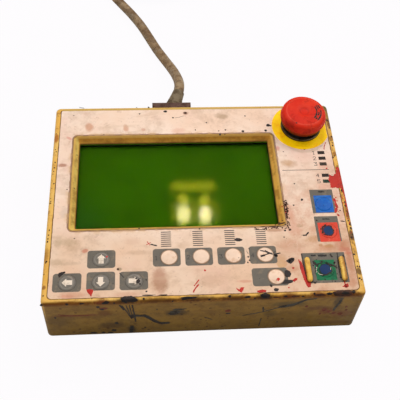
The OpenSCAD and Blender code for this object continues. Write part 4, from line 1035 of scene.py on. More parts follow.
def barTree():
    # A stack of thin printed bars at every point it is given
    d, given = pieceTree("printedBars", {"Bars": 8, "Step": 0.0018, "Bar Length": 0.0074, "Bar Width": 0.0006,
                                         "Thickness": 0.00006})
    size = d.node("ShaderNodeCombineXYZ", (given["Bar Length"], given["Bar Width"], given["Thickness"])).outputs[0]
    bar = d.node("GeometryNodeMeshCube", {"Size": size}).outputs["Mesh"]
    offset = d.node("ShaderNodeCombineXYZ", {1: given["Step"]}).outputs[0]
    stack = d.node("GeometryNodeMeshLine", {"Count": given["Bars"], "Offset": offset}, mode="OFFSET").outputs["Mesh"]
    patch = d.node("GeometryNodeInstanceOnPoints", {"Points": stack, "Instance": bar}).outputs["Instances"]
    patches = d.node("GeometryNodeInstanceOnPoints", {"Points": given["Geometry"], "Instance": patch})
    return endTree(d, given, patches.outputs["Instances"])


barPlaces = [(x, barFacts["from"], filmTop + barFacts["lift"]) for x in barFacts["x"]]
bars = runTree(pointHolder("printedBars", barPlaces), barTree(), {
    "Bars": barFacts["bars"], "Step": barFacts["step"] * mm, "Bar Length": barFacts["length"] * mm,
    "Bar Width": barFacts["width"] * mm, "Thickness": barFacts["thick"] * mm, "Finish": finishes["ink"]})
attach(bars, "case")
report("printed panels and figures")


# Paint, ink and dirt, laid over the shape of what they lie on

edgeFacts = {"round": 3.0, "turnsFrom": 53.0, "rim": 56.0, "flatTo": 117.0, "front": 94.03, "wall": 94.0,
             "lean": 0.6, "lowest": 1.35}


def overFilm(u, v, lift):
    return (u * mm, v * mm, (filmTop + lift) * mm)


def overFront(u, v, lift):
    # v climbs the front wall, turns over its rounded edge and runs back along the rim
    radius, bend = edgeFacts["round"], edgeFacts["turnsFrom"]
    if v <= bend:
        wall = edgeFacts["wall"] + edgeFacts["lean"] * (1 - min(v, bend) / edgeFacts["rim"])
        return (u * mm, -(wall + lift) * mm, v * mm)
    turned = (v - bend) / radius
    start = -edgeFacts["front"] + radius
    if turned >= math.pi / 2:
        return (u * mm, (start + (v - bend - radius * math.pi / 2)) * mm, (edgeFacts["rim"] + lift) * mm)
    return (u * mm, (start - (radius + lift) * math.cos(turned)) * mm,
            (bend + (radius + lift) * math.sin(turned)) * mm)


def overRim(u, v, lift):
    # the flat rim, and the round down to the side walls
    out = abs(u) - edgeFacts["flatTo"]
    if out <= 0:
        return (u * mm, v * mm, (edgeFacts["rim"] + lift) * mm)
    turned = min(out / edgeFacts["round"], edgeFacts["lowest"])
    reach = edgeFacts["round"] + lift
    return (math.copysign(edgeFacts["flatTo"] + reach * math.sin(turned), u) * mm, v * mm,
            (edgeFacts["turnsFrom"] + reach * math.cos(turned)) * mm)


def overKey(u, v, lift):
    # the nearest key's dome
    away = min(math.hypot(u - x, v - y) for x, y, _, _ in keyFacts["spots"].values())
    crown = keyFacts["crown"] - min(away, keyFacts["bowTo"]) ** 2 / (2 * keyFacts["bow"])
    level = crown if away < keyFacts["domeReach"] else filmTop + keyFacts["padLift"]
    return (u * mm, v * mm, (level + lift) * mm)


dabFacts = {                    # mm
    "slant": 2.2, "slantTo": 0.16,      # how far in the middle starts, for each mm of height, and at most
    "edge": 0.01, "sink": -0.05, "longest": 1.1, "cuts": 5,
    "stack": 0.004,             # each stretch of a line lies a little over the last
    "thin": 0.3,                # a thin line wanders less than its width times this
    "dot": (14, 0.35), "oval": (26, 0.3),       # corners and wobble
}


def paintShape(shape, outline, over, thick):
    # A low closed dab: its middle stands higher than its edge, and it sinks a little below.
    # The middle is cut fine enough to follow a rounded surface.
    ring = wound(outline)
    count = len(ring)
    shrink = min(dabFacts["slantTo"], thick * dabFacts["slant"])
    inner = []
    for i, (x, y) in enumerate(ring):
        dx, dy, size = alongAt(ring, i)
        inner.append((x - dy / size * shrink, y + dx / size * shrink))
    flat = bmesh.new()
    addTriangles([inner], [(flat, [flat.verts.new((x, y, 0)) for x, y in inner], True)])
    for _ in range(dabFacts["cuts"]):
        long = [e for e in flat.edges if not e.is_boundary and e.calc_length() > dabFacts["longest"]]
        if not long:
            break
        bmesh.ops.subdivide_edges(flat, edges=long, cuts=1)
        bmesh.ops.triangulate(flat, faces=flat.faces)
    places = [(v.co.x, v.co.y) for v in flat.verts]
    top = {at: shape.verts.new(over(*at, thick)) for at in places}
    under = {at: shape.verts.new(over(*at, dabFacts["sink"])) for at in places}
    edge, base = [[shape.verts.new(over(x, y, dabFacts[level])) for x, y in ring] for level in ("edge", "sink")]
    for face in flat.faces:
        a, b, c = [(v.co.x, v.co.y) for v in face.verts]
        shape.faces.new((top[a], top[b], top[c]))
        shape.faces.new((under[a], under[c], under[b]))
    flat.free()
    rim = [tuple(Vector(at)) for at in inner]     # the same rounding as the mesh gives
    for i in range(count):
        j = (i + 1) % count
        shape.faces.new((top[rim[j]], top[rim[i]], edge[i], edge[j]))
        shape.faces.new((edge[j], edge[i], base[i], base[j]))
        shape.faces.new((base[j], base[i], under[rim[i]], under[rim[j]]))


def markOutlines(mark, number, wander, step):
    # a list of points is an outline; (x, y, r) a dot; (x, y, rx, ry, turn) an oval; ("line", width, points)
    if mark[0] == "line":
        return [ragged(strokeOutline(a, b, mark[1]), step, min(wander, mark[1] * dabFacts["thin"]), number + 1)
                for a, b in zip(mark[2], mark[2][1:])]
    if isinstance(mark[0], tuple):
        return [ragged(mark, step, wander, number + 1)]
    if len(mark) == 3:
        return [circle(*mark, *dabFacts["dot"], number + 5)]
    x, y, rx, ry, turn = mark
    c, s = math.cos(math.radians(turn)), math.sin(math.radians(turn))
    return [[(x + u * rx * c - v * ry * s, y + u * rx * s + v * ry * c)
             for u, v in circle(0, 0, 1.0, *dabFacts["oval"], number + 9)]]


def paintPiece(name, marks, over, finish, thick=0.06, wander=0.3, step=0.6, body="case"):
    made = bmesh.new()
    for number, mark in enumerate(marks):
        for k, outline in enumerate(markOutlines(mark, number, wander, step)):
            paintShape(made, outline, over, thick + dabFacts["stack"] * k)
    return finishPiece(name, meshFrom(name, made), finishes[finish], body)


def scatter(path, count, spread, sizes, seed):
    # crumbs strewn along a path, thickest near it
    chance = random.Random(seed)
    out = []
    for _ in range(count):
        k = chance.randrange(len(path) - 1)
        t = chance.random()
        (ax, ay), (bx, by) = path[k], path[k + 1]
        out.append((ax + (bx - ax) * t + chance.gauss(0, spread), ay + (by - ay) * t + chance.gauss(0, spread),
                    chance.uniform(*sizes)))
    return out


# path, how many, spread, least and greatest radius, seed
crumbRows = {
    "lip": [([(68.8, -9), (68.9, -14), (69.0, -21)], 34, 0.8, (0.3, 0.95), 3),
            ([(69.0, -21), (69.4, -31), (66.0, -34.5)], 20, 0.8, (0.25, 0.7), 4),
            ([(69.0, -34.6), (58.0, -34.5), (41.0, -34.6)], 34, 0.7, (0.25, 0.8), 6)],
    "red": [([(119.0, 2), (119.6, -32)], 30, 1.0, (0.35, 1.1), 8),
            ([(116.0, 0), (117.5, -46)], 14, 0.8, (0.25, 0.6), 9),
            ([(110.5, -6), (110.5, -24)], 16, 1.1, (0.25, 0.6), 10)],
    "brown": [([(117.8, 80), (118.5, -85)], 34, 0.9, (0.3, 1.3), 12),
              ([(-118.2, 85), (-118.2, -88)], 26, 0.7, (0.25, 0.8), 13)],
    "pad": [([(84, -66), (100, -66), (101, -82), (84, -82), (84, -66)], 26, 0.8, (0.25, 0.8), 15)],
}
crumbs = {key: [crumb for row in rows for crumb in scatter(*row)] for key, rows in crumbRows.items()}
# piece: what it lies on, finish, height, wander of its edge, step along its edge, body, marks
paintTable = {
    "redPaintFilm": (overFilm, "redPaint", 0.07, 0.3, 0.6, "case", [
        (109.6, -9.5, 1.2, 1.9, 20), (110.2, -14.5, 1.1, 3.2, 5), (109.2, -19.5, 1.2, 2.6, -10), (111.2, -7, 0.6),
        [(73.1, -64.5), (74.3, -64.5), (75.4, -68.2), (77.2, -75.5), (79.4, -83.3), (78.7, -86.5), (76.4, -87),
         (75, -83.9), (73.6, -76.8), (72.6, -70)], (105.6, -86.4, 2.1, 1.6, 25),
        [(65, -80.6), (67.3, -79.1), (69.9, -78.6), (69.2, -80.4), (67, -82)],
        [(22.5, -85), (25, -87), (26.5, -85), (29, -85), (26.5, -89.6), (23.5, -87.5)],
        [(38, -88.2), (42, -87.4), (45, -88), (44.5, -89.6), (40, -89.9), (38, -89.5)],
        ("line", 0.8, [(-8, -82.5), (-4.5, -78)]), ("line", 1.1, [(-9, -87.5), (-7, -84), (-5, -82)]),
        [(-87, -83), (-84.5, -82.5), (-82, -83.5), (-83.5, -89), (-86.5, -85)],
        ("line", 0.6, [(-42.3, -44.1), (-40.3, -47.2)]), ("line", 0.5, [(-43.1, -46.7), (-39.8, -44.8)]),
        ("line", 0.8, [(72.7, -63.6), (73.2, -68)]), ("line", 0.9, [(104.6, -83), (105.2, -87.4)]),
        ("line", 0.7, [(103, -86.9), (106.8, -86.8)]), (109.8, -23.7, 0.7), (67.4, -70.4, 0.9), (56.5, -79, 1.1),
        ("line", 0.7, [(109.5, 43), (110.2, 46), (112, 50)]), (0.5, -70, 0.8), (62, -86.5, 0.6), (108.5, 22.5, 0.9),
        (66, -14.5, 0.6), (68.2, -20, 0.5),
    ]),
    "redPaintRim": (overRim, "redPaint", 0.07, 0.8, 0.6, "case", [
        [(109.6, 15.9), (112, 14.8), (115.7, 17.2), (116.2, 23), (118.8, 24.2), (120.2, 21), (120.3, 9.5),
         (120.4, 2.4), (120.8, -5.7), (120.9, -13.5), (120.8, -19.4), (119.6, -22), (118.8, -18.3), (119, -11.5),
         (118.3, -5.6), (117.6, 0.4), (116.2, 2.5), (114.4, 2.1), (112.6, 3), (108.4, 2.7), (108.7, 6.7),
         (108, 11)],
    ]),
    "blackPaintFilm": (overFilm, "blackPaint", 0.07, 0.3, 0.6, "case", [
        [(60.6, -72.4), (62.6, -71.6), (64.9, -73), (65.4, -75.6), (64, -77.8), (61.4, -78), (60.2, -76.3)],
        [(55.6, -81.1), (59.6, -79.8), (65.3, -80.2), (66.4, -81), (64.9, -82.8), (59.1, -83.6), (56.4, -83.2)],
        (67, -64.3, 3, 1.5, 30), (52.5, -88, 1.9, 1.5, 15), (82, -83, 1.2, 1, 0), (49, -84.5, 1.1),
        ("line", 1.1, [(79.7, -41.9), (81.4, -41.9), (83.5, -39.7)]), ("line", 0.5, [(78.2, -41.6), (79.8, -42)]),
        ("line", 0.9, [(111.6, -29.6), (114.1, -29.9)]), ("line", 1.3, [(83.1, -60.1), (85.8, -59.9)]),
        ("line", 1.8, [(88.9, -60.2), (94, -60.4)]), ("line", 1.4, [(97.8, -59.8), (98.7, -61.4)]),
        ("line", 1.5, [(83.8, -65.6), (85.5, -68.1)]), ("line", 1.6, [(95.4, -67.6), (100.1, -70.1)]),
        ("line", 0.9, [(88.5, -76.5), (95, -75.1)]), (80, -81.9, 1.3),
        ("line", 1.1, [(97.1, -27.3), (101.9, -27.5)]), (91.9, -28.4, 0.8),
        # dark strokes beside the rails are dirt; the short strokes across the rails' lower ends are painted shadow
        ("line", 0.9, [(75.5, -58.5), (75.6, -67), (76.4, -76.6), (77.2, -79.7)]),
        ("line", 1, [(103.4, -58.6), (102.6, -67.8), (102.3, -79)]),
        ("line", 1.1, [(102.2, -79.7), (105.4, -80.1)]),
        ("line", 0.9, [(107.7, -60.4), (107.7, -71.2), (107.3, -79.2)]),
        ("line", 1, [(76.3, -79.9), (79.7, -79.8)]), (64.9, -64.2, 2, 1.3, 20), (67, -62.6, 2.4, 1, 15),
        (85, -67.5, 0.9), (28, -44.5, 3, 1.5, -8), ("line", 1.1, [(-39.5, -46.5), (-35.5, -47.6)]),
        [(-108.5, -71), (-108, -68.5), (-103.5, -67.5), (-103, -68.6), (-106, -71.5), (-107.6, -73)],
        ("line", 0.7, [(-63, -70.5), (-60, -74)]),
        ("line", 0.45, [(84.6, -78.5), (83.6, -75), (84.4, -71), (86.5, -68.2)]), (99.5, -1, 2.4, 0.9, 0),
        (102.2, -1.2, 0.6), ("line", 0.3, [(33.5, -54.5), (34.5, -57)]), (34.3, -59.6, 0.8), (35, -62.6, 0.7),
        (33.5, -64.4, 0.6), (35.6, -52.6, 0.6), ("line", 0.5, [(-100, 94), (-96, 93)]),
    ]),
    "inkDots": (overFilm, "blackPaint", 0.06, 0.3, 0.6, "case", [
        (83, -8.5, 1), (75.5, -13.5, 0.7), (79, 7.5, 0.7), (65.5, -37, 0.9), (64, -43, 0.6), (92.5, 43.5, 0.9),
        (74, 41, 0.5), (66.5, 70, 0.8), (-25, 88, 1.5, 1.2, 0), (21.5, 61, 1), (64.5, 70.5, 1.6), (61.5, 64.5, 1.3),
        (-47.5, 85.5, 0.7), (45, 81.5, 0.7), (-104.5, 84.5, 0.5), (-106, 6.5, 0.5), (-48.5, -32, 0.7),
        (-1.5, -33.5, 0.7), (-98, -39.5, 0.5), (-78, 63, 0.4), (41.5, 64, 1.2), (-43.5, -76.5, 0.6),
        (-43.5, -86, 0.7), (110.5, -23.5, 0.6), (112.5, -19.5, 0.6), (66.3, -31.5, 0.6), (10.5, 74.5, 0.7),
        (0.5, 66.5, 0.6), (26.5, 66, 0.7), (-18.5, 80.5, 0.8), ("line", 0.35, [(-13, 81.2), (-8.5, 82.6)]),
        ("line", 0.3, [(-17, 80.4), (-12.5, 81)]), (64.6, -27.8, 0.5), (67.4, -26.4, 0.45), (69.3, -24.2, 0.5),
        (62.2, -29.8, 0.5), (58.5, -31.6, 0.5), (70, -30, 0.4),
    ]),
    "brownCrumbs": (overFilm, "brownPaint", 0.09, 0.35, 0.6, "case", [
        (-7.5, 86, 1.7, 1.2, 0), (20.5, 65, 0.6), (-64.5, -67, 1), (63.5, -30.5, 3.2, 0.7, 20),
        (68.6, -23, 0.8, 3, 5), (56, -33, 3, 0.5, 5), (69.5, -36.5, 1.1), (48.5, -33.2, 2, 0.4, 0),
        (67.6, -16.2, 0.6, 2.2, 0), ("line", 0.4, [(66.5, -31), (69, -34)]),
        ("line", 0.35, [(60, -32.6), (55, -35)]),
    ]),
    "frontGrime": (overFront, "blackPaint", 0.08, 0.45, 0.6, "case", [
        [(-62.5, 57.6), (-60, 59.2), (-54, 59.4), (-51.5, 58), (-49.2, 56), (-52, 54.6), (-57, 55), (-58, 53.6),
         (-61.5, 55.4)], [(-76, 54.6), (-73, 56.3), (-70, 55.6), (-71.5, 53.6), (-75, 53.4)],
        (-90.2, 54.6, 2, 0.7, 0), (-42, 59.6, 5, 0.5, 0), (-31.5, 59.4, 3.2, 0.5, 0), (-12.5, 56.6, 6.5, 0.9, 0),
        (-16, 55.6, 2, 0.6, 0), (30.8, 55.8, 2.4, 0.9, 0),
        [(40, 57.2), (44, 58.8), (47.5, 57), (46.5, 54.6), (43, 54.2), (40.8, 55.4)], (59, 55.4, 1.5, 0.7, 0),
        (71.8, 54.8, 1.4, 0.6, 0), (91.8, 56.2, 2.4, 0.9, 0), (110.2, 57.2, 1.5, 1.3, 0), (104, 56.4, 2.8, 1.3, 0),
        (-101, 54.2, 1.2), (17.5, 56.6, 1), (2.5, 54.6, 0.9), (80.5, 56.8, 0.8), (36, 54.4, 0.8), (-67, 54.2, 0.8),
        (-119.2, 54.4, 1), (-45.5, 57, 0.8), (-24.5, 54.2, 0.7),
    ]),
    "rimStain": (overFront, "brownPaint", 0.05, 0.7, 0.6, "case", [
        [(94, 57.4), (99, 58.6), (106, 58.8), (110.5, 57.6), (108, 54.4), (101, 53.8), (96, 54.4)],
        (84.5, 55.6, 4.2, 0.9, 0), (66.5, 55.2, 3.4, 0.6, 0), (52, 54.8, 2.6, 0.6, 0),
    ]),
    "wallStrokes": (overFront, "blackPaint", 0.05, 0.4, 0.6, "case", [
        ("line", 0.9, [(-61.5, 50), (-58.5, 39.5), (-55.5, 27)]), ("line", 0.8, [(-58.5, 50), (-55.5, 28.5)]),
        ("line", 1.2, [(-54, 50.5), (-53.2, 36), (-52.5, 21.5)]), ("line", 1.5, [(-63, 50.5), (-60.5, 43)]),
        ("line", 0.7, [(-56.2, 50), (-54.6, 30)]), (-54.6, 31, 1.6, 3.6, 0),
        [(-54, 34.5), (-49, 33.6), (-45, 34.2), (-41.8, 30), (-38.5, 25.2), (-33.5, 19.2), (-26.6, 18.8),
         (-26.4, 15.6), (-33, 14.6), (-39, 19.6), (-42.5, 25), (-46, 29.6), (-50, 30.2), (-53.5, 30)],
        [(-56.8, 14.5), (-54.2, 14.5), (-54.8, 6), (-55.2, 0.8), (-58.4, 0.8), (-57.8, 7)], (-112, 33, 0.8, 1.6, 0),
        (-67, 20, 1.5, 2.2, 0), (-76.5, 45, 1.9, 1.6, 0), (-70, 6.5, 2, 2, 20), (-78.5, 3, 1.8, 1.6, 0),
        (-86, 3, 2.6, 1.8, 0), (-73, 2.6, 2.2, 1.6, 0), (-79, 49, 1.3, 1.8, 0), (18, 30.5, 1.9, 1.2, 0),
        ("line", 1.2, [(0.5, 25), (6, 21)]), (-45.5, 10, 0.8, 1.4, 0), (-36, 42, 0.6, 1.2, 0),
        (58.5, 12, 0.6, 1.2, 0),
    ]),
    "wallScuffs": (overFront, "greyPaint", 0.04, 0.4, 0.6, "case", [
        [(56, 40.5), (60, 42), (66.5, 44.5), (75, 51.5), (83.5, 52.4), (83, 50.6), (76, 48.8), (68, 40.6),
         (61, 37.6), (56.5, 37.6)],
        [(103.4, 51), (101.4, 51), (100.6, 42), (98.9, 33), (99.4, 29.5), (101, 29.5), (101.6, 36), (103, 43)],
        (-23, 35, 4.6, 3.6, 8), (-19.5, 40.5, 5.5, 1.6, 8), ("line", 1.1, [(44, 39.5), (45, 32.5)]),
        ("line", 0.9, [(44.8, 19.5), (44.5, 5)]), ("line", 1.4, [(30, 26), (44, 31), (56, 38)]),
    ]),
    "wallRed": (overFront, "driedRed", 0.04, 0.4, 0.6, "case", [
        ("line", 1.5, [(-108.5, 38), (-101, 36), (-88, 35)]), (92.5, 31.5, 1.8, 2.6, 0), (96.5, 28, 1.4, 2.2, 20),
        (101, 25, 1.8, 2, 0), (106.5, 23.6, 2, 2.4, -20), (110, 29.8, 1.1, 1.6, 0), (108.8, 35.5, 1, 1.6, 0),
        (90.5, 24.5, 1, 1.6, 0), (17.5, 35.5, 2.2, 2.2, 10), (77.5, 38.5, 1.2, 1.8, 0), (-75.5, 46.5, 3.4, 1.8, 0),
    ]),
    "rimDots": (overRim, "blackPaint", 0.06, 0.3, 0.6, "case", [
        (-117.5, 28.5, 0.6), (-116.9, 12.5, 0.6), (-50, 92.9, 0.5), (-39.5, 93, 0.8), (-118, 84.5, 0.5),
        (-117, 45, 0.5), (117.4, -29.5, 0.7), (118.2, 24, 0.5), (117, 52, 0.6), (118, 66.5, 0.7), (116.4, -60, 0.8),
        (118.4, -42, 0.6),
    ]),
    "lipCrumbs": (overRim, "brownPaint", 0.16, 0.3, 0.6, "case", crumbs["lip"]),
    "rimRed": (overRim, "redPaint", 0.06, 0.3, 0.6, "case", crumbs["red"]),
    "rimBrown": (overRim, "brownPaint", 0.05, 0.3, 0.6, "case", crumbs["brown"]),
    "padCrumbs": (overFilm, "blackPaint", 0.09, 0.3, 0.6, "case", crumbs["pad"]),
    "filmCrack": (overFilm, "blackPaint", 0.08, 0.2, 0.5, "case", [
        ("line", 1, [(54.2, -58.2), (58.8, -57.1)]), ("line", 1.4, [(54, -58.7), (56.3, -59.4)]),
        ("line", 0.6, [(54.4, -56.5), (55.5, -55.7)]), (55.7, -59.2, 1.3),
    ]),
    "f4Crack": (overKey, "blackPaint", 0.05, 0.15, 0.5, "key_f4", [
        ("line", 1, [(44.3, -54.7), (48, -55.8), (49.7, -57.1)]),
        ("line", 1.3, [(48, -55.3), (51, -57.2), (53.2, -58.1)]),
        ("line", 0.9, [(45.3, -59.4), (49.2, -58), (52.1, -57.2)]), ("line", 1.6, [(44.4, -59.5), (46.3, -59.1)]),
    ]),
    "startInk": (overKey, "blackPaint", 0.05, 0.4, 0.5, "key_start", [
        ("line", 1.5, [(83.6, -65.7), (85.6, -68.1), (86.1, -69.4)]), ("line", 1.3, [(86.9, -67.7), (89.5, -66.7)]),
        ("line", 1.6, [(95, -68.2), (96.9, -69.3)]), ("line", 1.2, [(88.2, -77.3), (92.1, -77), (94.8, -75.4)]),
        ("line", 0.8, [(96.5, -71.8), (96.7, -74.4)]), ("line", 0.7, [(84.9, -71.4), (83.9, -74)]),
    ]),
    "pauseInk": (overKey, "blackPaint", 0.05, 0.4, 0.5, "key_pause", [
        ("line", 1.3, [(94.5, -36.8), (96, -34.7), (98.3, -33.4)]), ("line", 1, [(94.7, -38.5), (94.8, -40.5)]),
        ("line", 0.8, [(102.6, -35.9), (103.7, -37.7), (103.3, -39.6)]),
        ("line", 0.7, [(95.4, -41.6), (97.8, -42.6)]),
    ]),
    "startChips": (overKey, "whiteChip", 0.05, 0.3, 0.5, "key_start", [
        ("line", 0.55, [(85.6, -70.3), (84.7, -72.4), (85.1, -74.3)]),
        ("line", 0.55, [(85.9, -75.2), (87.1, -76.5), (89, -77)]), ("line", 0.4, [(96.2, -71.2), (95.7, -72.8)]),
        ("line", 0.45, [(85.3, -67.6), (85.9, -68.7)]),
    ]),
    "enterMarks": (overKey, "redPaint", 0.05, 0.3, 0.5, "key_enter", [
        (55, -79.5, 1.3, 1, 0), ("line", 0.6, [(53.4, -80.2), (54.9, -80.9)]),
    ]),
    "rightMarks": (overKey, "blackPaint", 0.05, 0.3, 0.5, "key_right", [
        (-49.5, -78, 1.5), (-50.8, -75.4, 0.8), (-48.2, -80, 0.8), ("line", 0.5, [(-50.5, -77), (-47.4, -75.1)]),
    ]),
    "upMark": (overKey, "redPaint", 0.05, 0.3, 0.5, "key_up", [(-72.8, -56.4, 0.7)]),
}
for name, (over, finish, thick, wander, step, body, marks) in paintTable.items():
    paintPiece(name, marks, over, finish, thick, wander, step, body)
report("paint and dirt marks")


# Stop button

stopFacts = {
    "middle": (0.0925, 0.0682, 0.0),
    # on the head: radius and half width of a ring, its colour and how strong
    "rings": ((0.0036, 0.0012, (188, 40, 30), 0.55), (0.0150, 0.0010, (236, 96, 72), 0.35)),
    # worn arcs of print on the shoulder, in mm and degrees; left: the share of them that is still there
    "arcs": {"radii": (10.6, 12.4, 14.2), "from": -44.0, "to": 24.0, "sweep": (5.0, 13.0), "gap": (1.0, 4.0),
             "width": (0.9, 1.3), "left": 0.85, "seed": 5},
    "dab": {"thick": 0.06, "step": 0.5, "wander": 0.2, "spot": (12, 0.4)},
    "spots": [(106.5, 79.5, .6), (108.6, 76.0, .5), (84.0, 55.4, .6)],
    "press": 0.004,             # the button's travel
}


def makeStopRed():
    d = startMaterial("stopRed", 0.48, shine=0.14)
    z = d.axes()[2]
    d.colour = d.blend(d.ramp(d.noise(60.0, 4.0, 0.6), 0.35, 0.68), (214, 38, 18), (226, 56, 30))
    # painted shade: the head's lower skirt is dark red
    d.lay(d.ramp(z, 0.0715, 0.0650), (100, 0, 0), 0.97)
    d.lay(d.ramp(d.offBy(z, 0.0672), 0.0004, 0.0001), (120, 24, 20), 0.7)
    away = d.awayFrom(stopFacts["middle"])
    up = d.ramp(z, 0.0735, 0.0750)
    for radius, width, colour, strength in stopFacts["rings"]:
        d.lay(d.times(d.ramp(d.offBy(away, radius), width, 0.0), up), colour, strength)
    soil = d.mask("grime", 120.0, 0.3, 0.14, 4.0)
    d.lay(soil, (150, 34, 26), 0.5)
    d.wear(("scuffs", (80.0, 0.008, 0.6, 0.4), (240, 128, 104), 0.45),
           ("specks", (340.0, 0.16, 0.12), (60, 20, 18), 0.7))
    grain = d.noise(800.0, 3.0)
    return endMaterial(d, d.fit(soil, 0.2, d.fit(grain, 0.1, 0.42)), grain, 0.00005)


def makeCollar():
    # Plated ring with painted shade: black under the head's rim, near its foot and down its left side, and a thin
    # black ring just outside the shade under the head
    d = startMaterial("collarPlate", 0.34, 1.0)
    x, _, z = d.axes()
    away = d.awayFrom(stopFacts["middle"])
    d.colour = d.blend(d.mask("grime", 160.0, 0.45, 0.14, 2.0), (206, 192, 168), (120, 98, 66), 0.7)
    # painted shade under the head's rim, and a thin black ring just outside it
    headShadeAndRing = d.most(d.ramp(away, 0.0160, 0.0157), d.ramp(d.offBy(away, 0.01665), 0.0003, 0.0001))
    # painted shade near the collar's foot
    foot = d.times(d.ramp(z, 0.0582, 0.0579), d.ramp(d.offBy(z, 0.0569), 0.0001, 0.0004))
    # painted shade down the left side as well
    dark = d.most(d.most(headShadeAndRing, foot), d.times(d.ramp(x, 0.097, 0.088), 0.75))
    d.lay(dark, (40, 28, 16), 0.95)
    return endMaterial(d, d.fit(dark, 0.3, 0.3), d.noise(1400.0, 3.0), 0.00004)


def makeRail():
    # Rubbed yellow rails, with painted shade down their right sides, and painted shade with dirt at their feet
    d = startMaterial("railYellow", 0.4, shine=0.2)
    x, _, z = d.axes()
    low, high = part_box("guard_rails")
    middle, half = (low.x + high.x) / 2, (high.x - low.x) / 2
    across = d.minus(d.offBy(x, middle), half - 0.003)
    across = d.times(across, d.calc("SIGN", d.minus(x, middle)))       # to the right of each rail's middle
    tone = d.noise(130.0, 4.0, 0.6)
    d.colour = d.blend(d.ramp(tone, 0.34, 0.7), (244, 206, 104), (228, 178, 76))
    # painted shade down each rail's right side
    d.lay(d.ramp(d.plus(across, d.fit(tone, 0.002, -0.001)), 0.0003, 0.0019), (158, 100, 40), 0.85)
    d.wear(("grime", (150.0, 0.34, 0.12, 11.0), (170, 112, 44), 0.6))
    # painted shade and dirt round the rails' feet
    d.lay(d.ramp(d.plus(z, d.times(tone, -0.0010)), 0.0568, 0.0562), (46, 28, 14), 0.85)
    d.wear(("specks", (260.0, 0.3, 0.2), (60, 36, 20), 0.75))
    grain = d.noise(900.0, 3.0)
    return endMaterial(d, d.fit(grain, 0.12, 0.36), grain, 0.00006)


finishes.update({"stopRed": makeStopRed(), "collar": makeCollar(), "rail": makeRail()})
dress("legend_disc", "legend", "legend_yellow")
dress("stop_collar", "collar", "bright_metal")
dress("stop_barrel", "blackPlastic", "black_plastic")
dress("stop_head", "stopRed", "stop_red", 40, "stop_head")
dress("guard_rails", "rail", "case_yellow", 40)


def headTop():
    # marks on the head lie on whatever height its own mesh has there
    shape = mergedCopy("stop_head")
    tree = BVHTree.FromBMesh(shape)
    shape.free()
    above, missed = 0.2, 0.070

    def over(u, v, lift):
        hit = tree.ray_cast(Vector((u * mm, v * mm, above)), Vector((0, 0, -1)))
        return (u * mm, v * mm, (hit[0].z if hit[0] else missed) + lift * mm)
    return over


def wornArcs():
    facts = stopFacts["arcs"]
    chance = random.Random(facts["seed"])
    middle = [v / mm for v in stopFacts["middle"]]
    marks = []
    for radius in facts["radii"]:
        turn = facts["from"]
        while turn < facts["to"]:
            sweep = chance.uniform(*facts["sweep"])
            if chance.random() < facts["left"]:
                arc = [(middle[0] + radius * math.cos(math.radians(turn + sweep * k / 2)),
                        middle[1] + radius * math.sin(math.radians(turn + sweep * k / 2))) for k in range(3)]
                marks += [("line", chance.uniform(*facts["width"]), pair) for pair in zip(arc, arc[1:])]
            turn += sweep + chance.uniform(*facts["gap"])
    return marks


marksMade = bmesh.new()
overHead, dab = headTop(), stopFacts["dab"]
for number, mark in enumerate(wornArcs() + stopFacts["spots"]):
    if mark[0] == "line":
        outline = ragged(strokeOutline(*mark[2], mark[1]), dab["step"], dab["wander"], number + 2)
    else:
        outline = circle(*mark, *dab["spot"], number + 3)
    paintShape(marksMade, outline, overHead, dab["thick"])
finishPiece("headMarks", meshFrom("headMarks", marksMade), finishes["blackPaint"], "stop_head")
report("stop button")


# Screen and lamps

screenFacts = {"green": (50, 96, 0), "mid": (48, 88, 0), "deep": (28, 62, 0), "cool": (28, 92, 40),
               "sheen": (1.0, 0.92, 0.04, 1.0), "rough": 0.055}


def makeScreenGreen():
    d = startMaterial("displayGreen", screenFacts["rough"], ior=1.5)
    d.put(d.shader["Specular Tint"], screenFacts["sheen"])
    x, y = d.axes()[:2]
    d.colour = d.blend(d.ramp(d.noise(18.0, 3.0), 0.35, 0.65), screenFacts["green"], screenFacts["mid"])
    # painted shadow: the screen is darker towards its top edge, under the back slope
    d.lay(d.ramp(y, 0.044, 0.060), screenFacts["deep"], 0.55)
    d.lay(d.times(d.ramp(x, -0.060, -0.100), d.ramp(y, 0.020, -0.030)), screenFacts["cool"], 0.55)
    d.wear(("specks", (90.0, 0.08, 0.2), (16, 34, 6), 0.8))
    grime = d.mask("grime", 40.0, 0.25, 0.2, 6.0)
    d.lay(grime, (30, 70, 8), 0.4)
    return endMaterial(d, d.fit(grime, 0.02, screenFacts["rough"]))


def makeWindowClear():
    d = startMaterial("windowClear", 0.03, clear=1.0, ior=1.06)
    d.colour = d.blend(d.ramp(d.noise(30.0, 3.0), 0.4, 0.7), (0.90, 1.0, 0.86, 1.0), (0.82, 0.96, 0.78, 1.0))
    d.wear(("specks", (120.0, 0.07, 0.14), (0.2, 0.2, 0.12, 1.0), 0.8))
    return endMaterial(d, d.fit(d.mask("grime", 60.0, 0.3, 0.2, 16.0), 0.05, 0.03))


def makeLampDark():
    d = startMaterial("smokedLamp", 0.25)
    y = d.axes()[1]
    d.colour = d.blend(d.ramp(y, 0.0125, 0.0115), (44, 34, 28), (26, 62, 46))
    d.lay(d.times(d.ramp(y, 0.0302, 0.0290), d.ramp(y, 0.0170, 0.0180)), (70, 60, 48))
    d.wear(("grime", (420.0, 0.4, 0.14, 8.0), (20, 14, 12), 0.7),
           ("specks", (900.0, 0.25, 0.15), (110, 100, 84), 0.5))
    grain = d.noise(1200.0, 2.0)
    return endMaterial(d, d.fit(grain, 0.1, 0.22), grain, 0.00004, 0.4)


finishes.update({"screen": makeScreenGreen(), "window": makeWindowClear(), "lamp": makeLampDark()})
dress("window", "window", "window_clear")
dress("lcd_glass", "screen", "lcd_green")
dress("light_pipes", "lamp", "lamp_dark")
report("screen and lamps")


# Gland, lead and plug

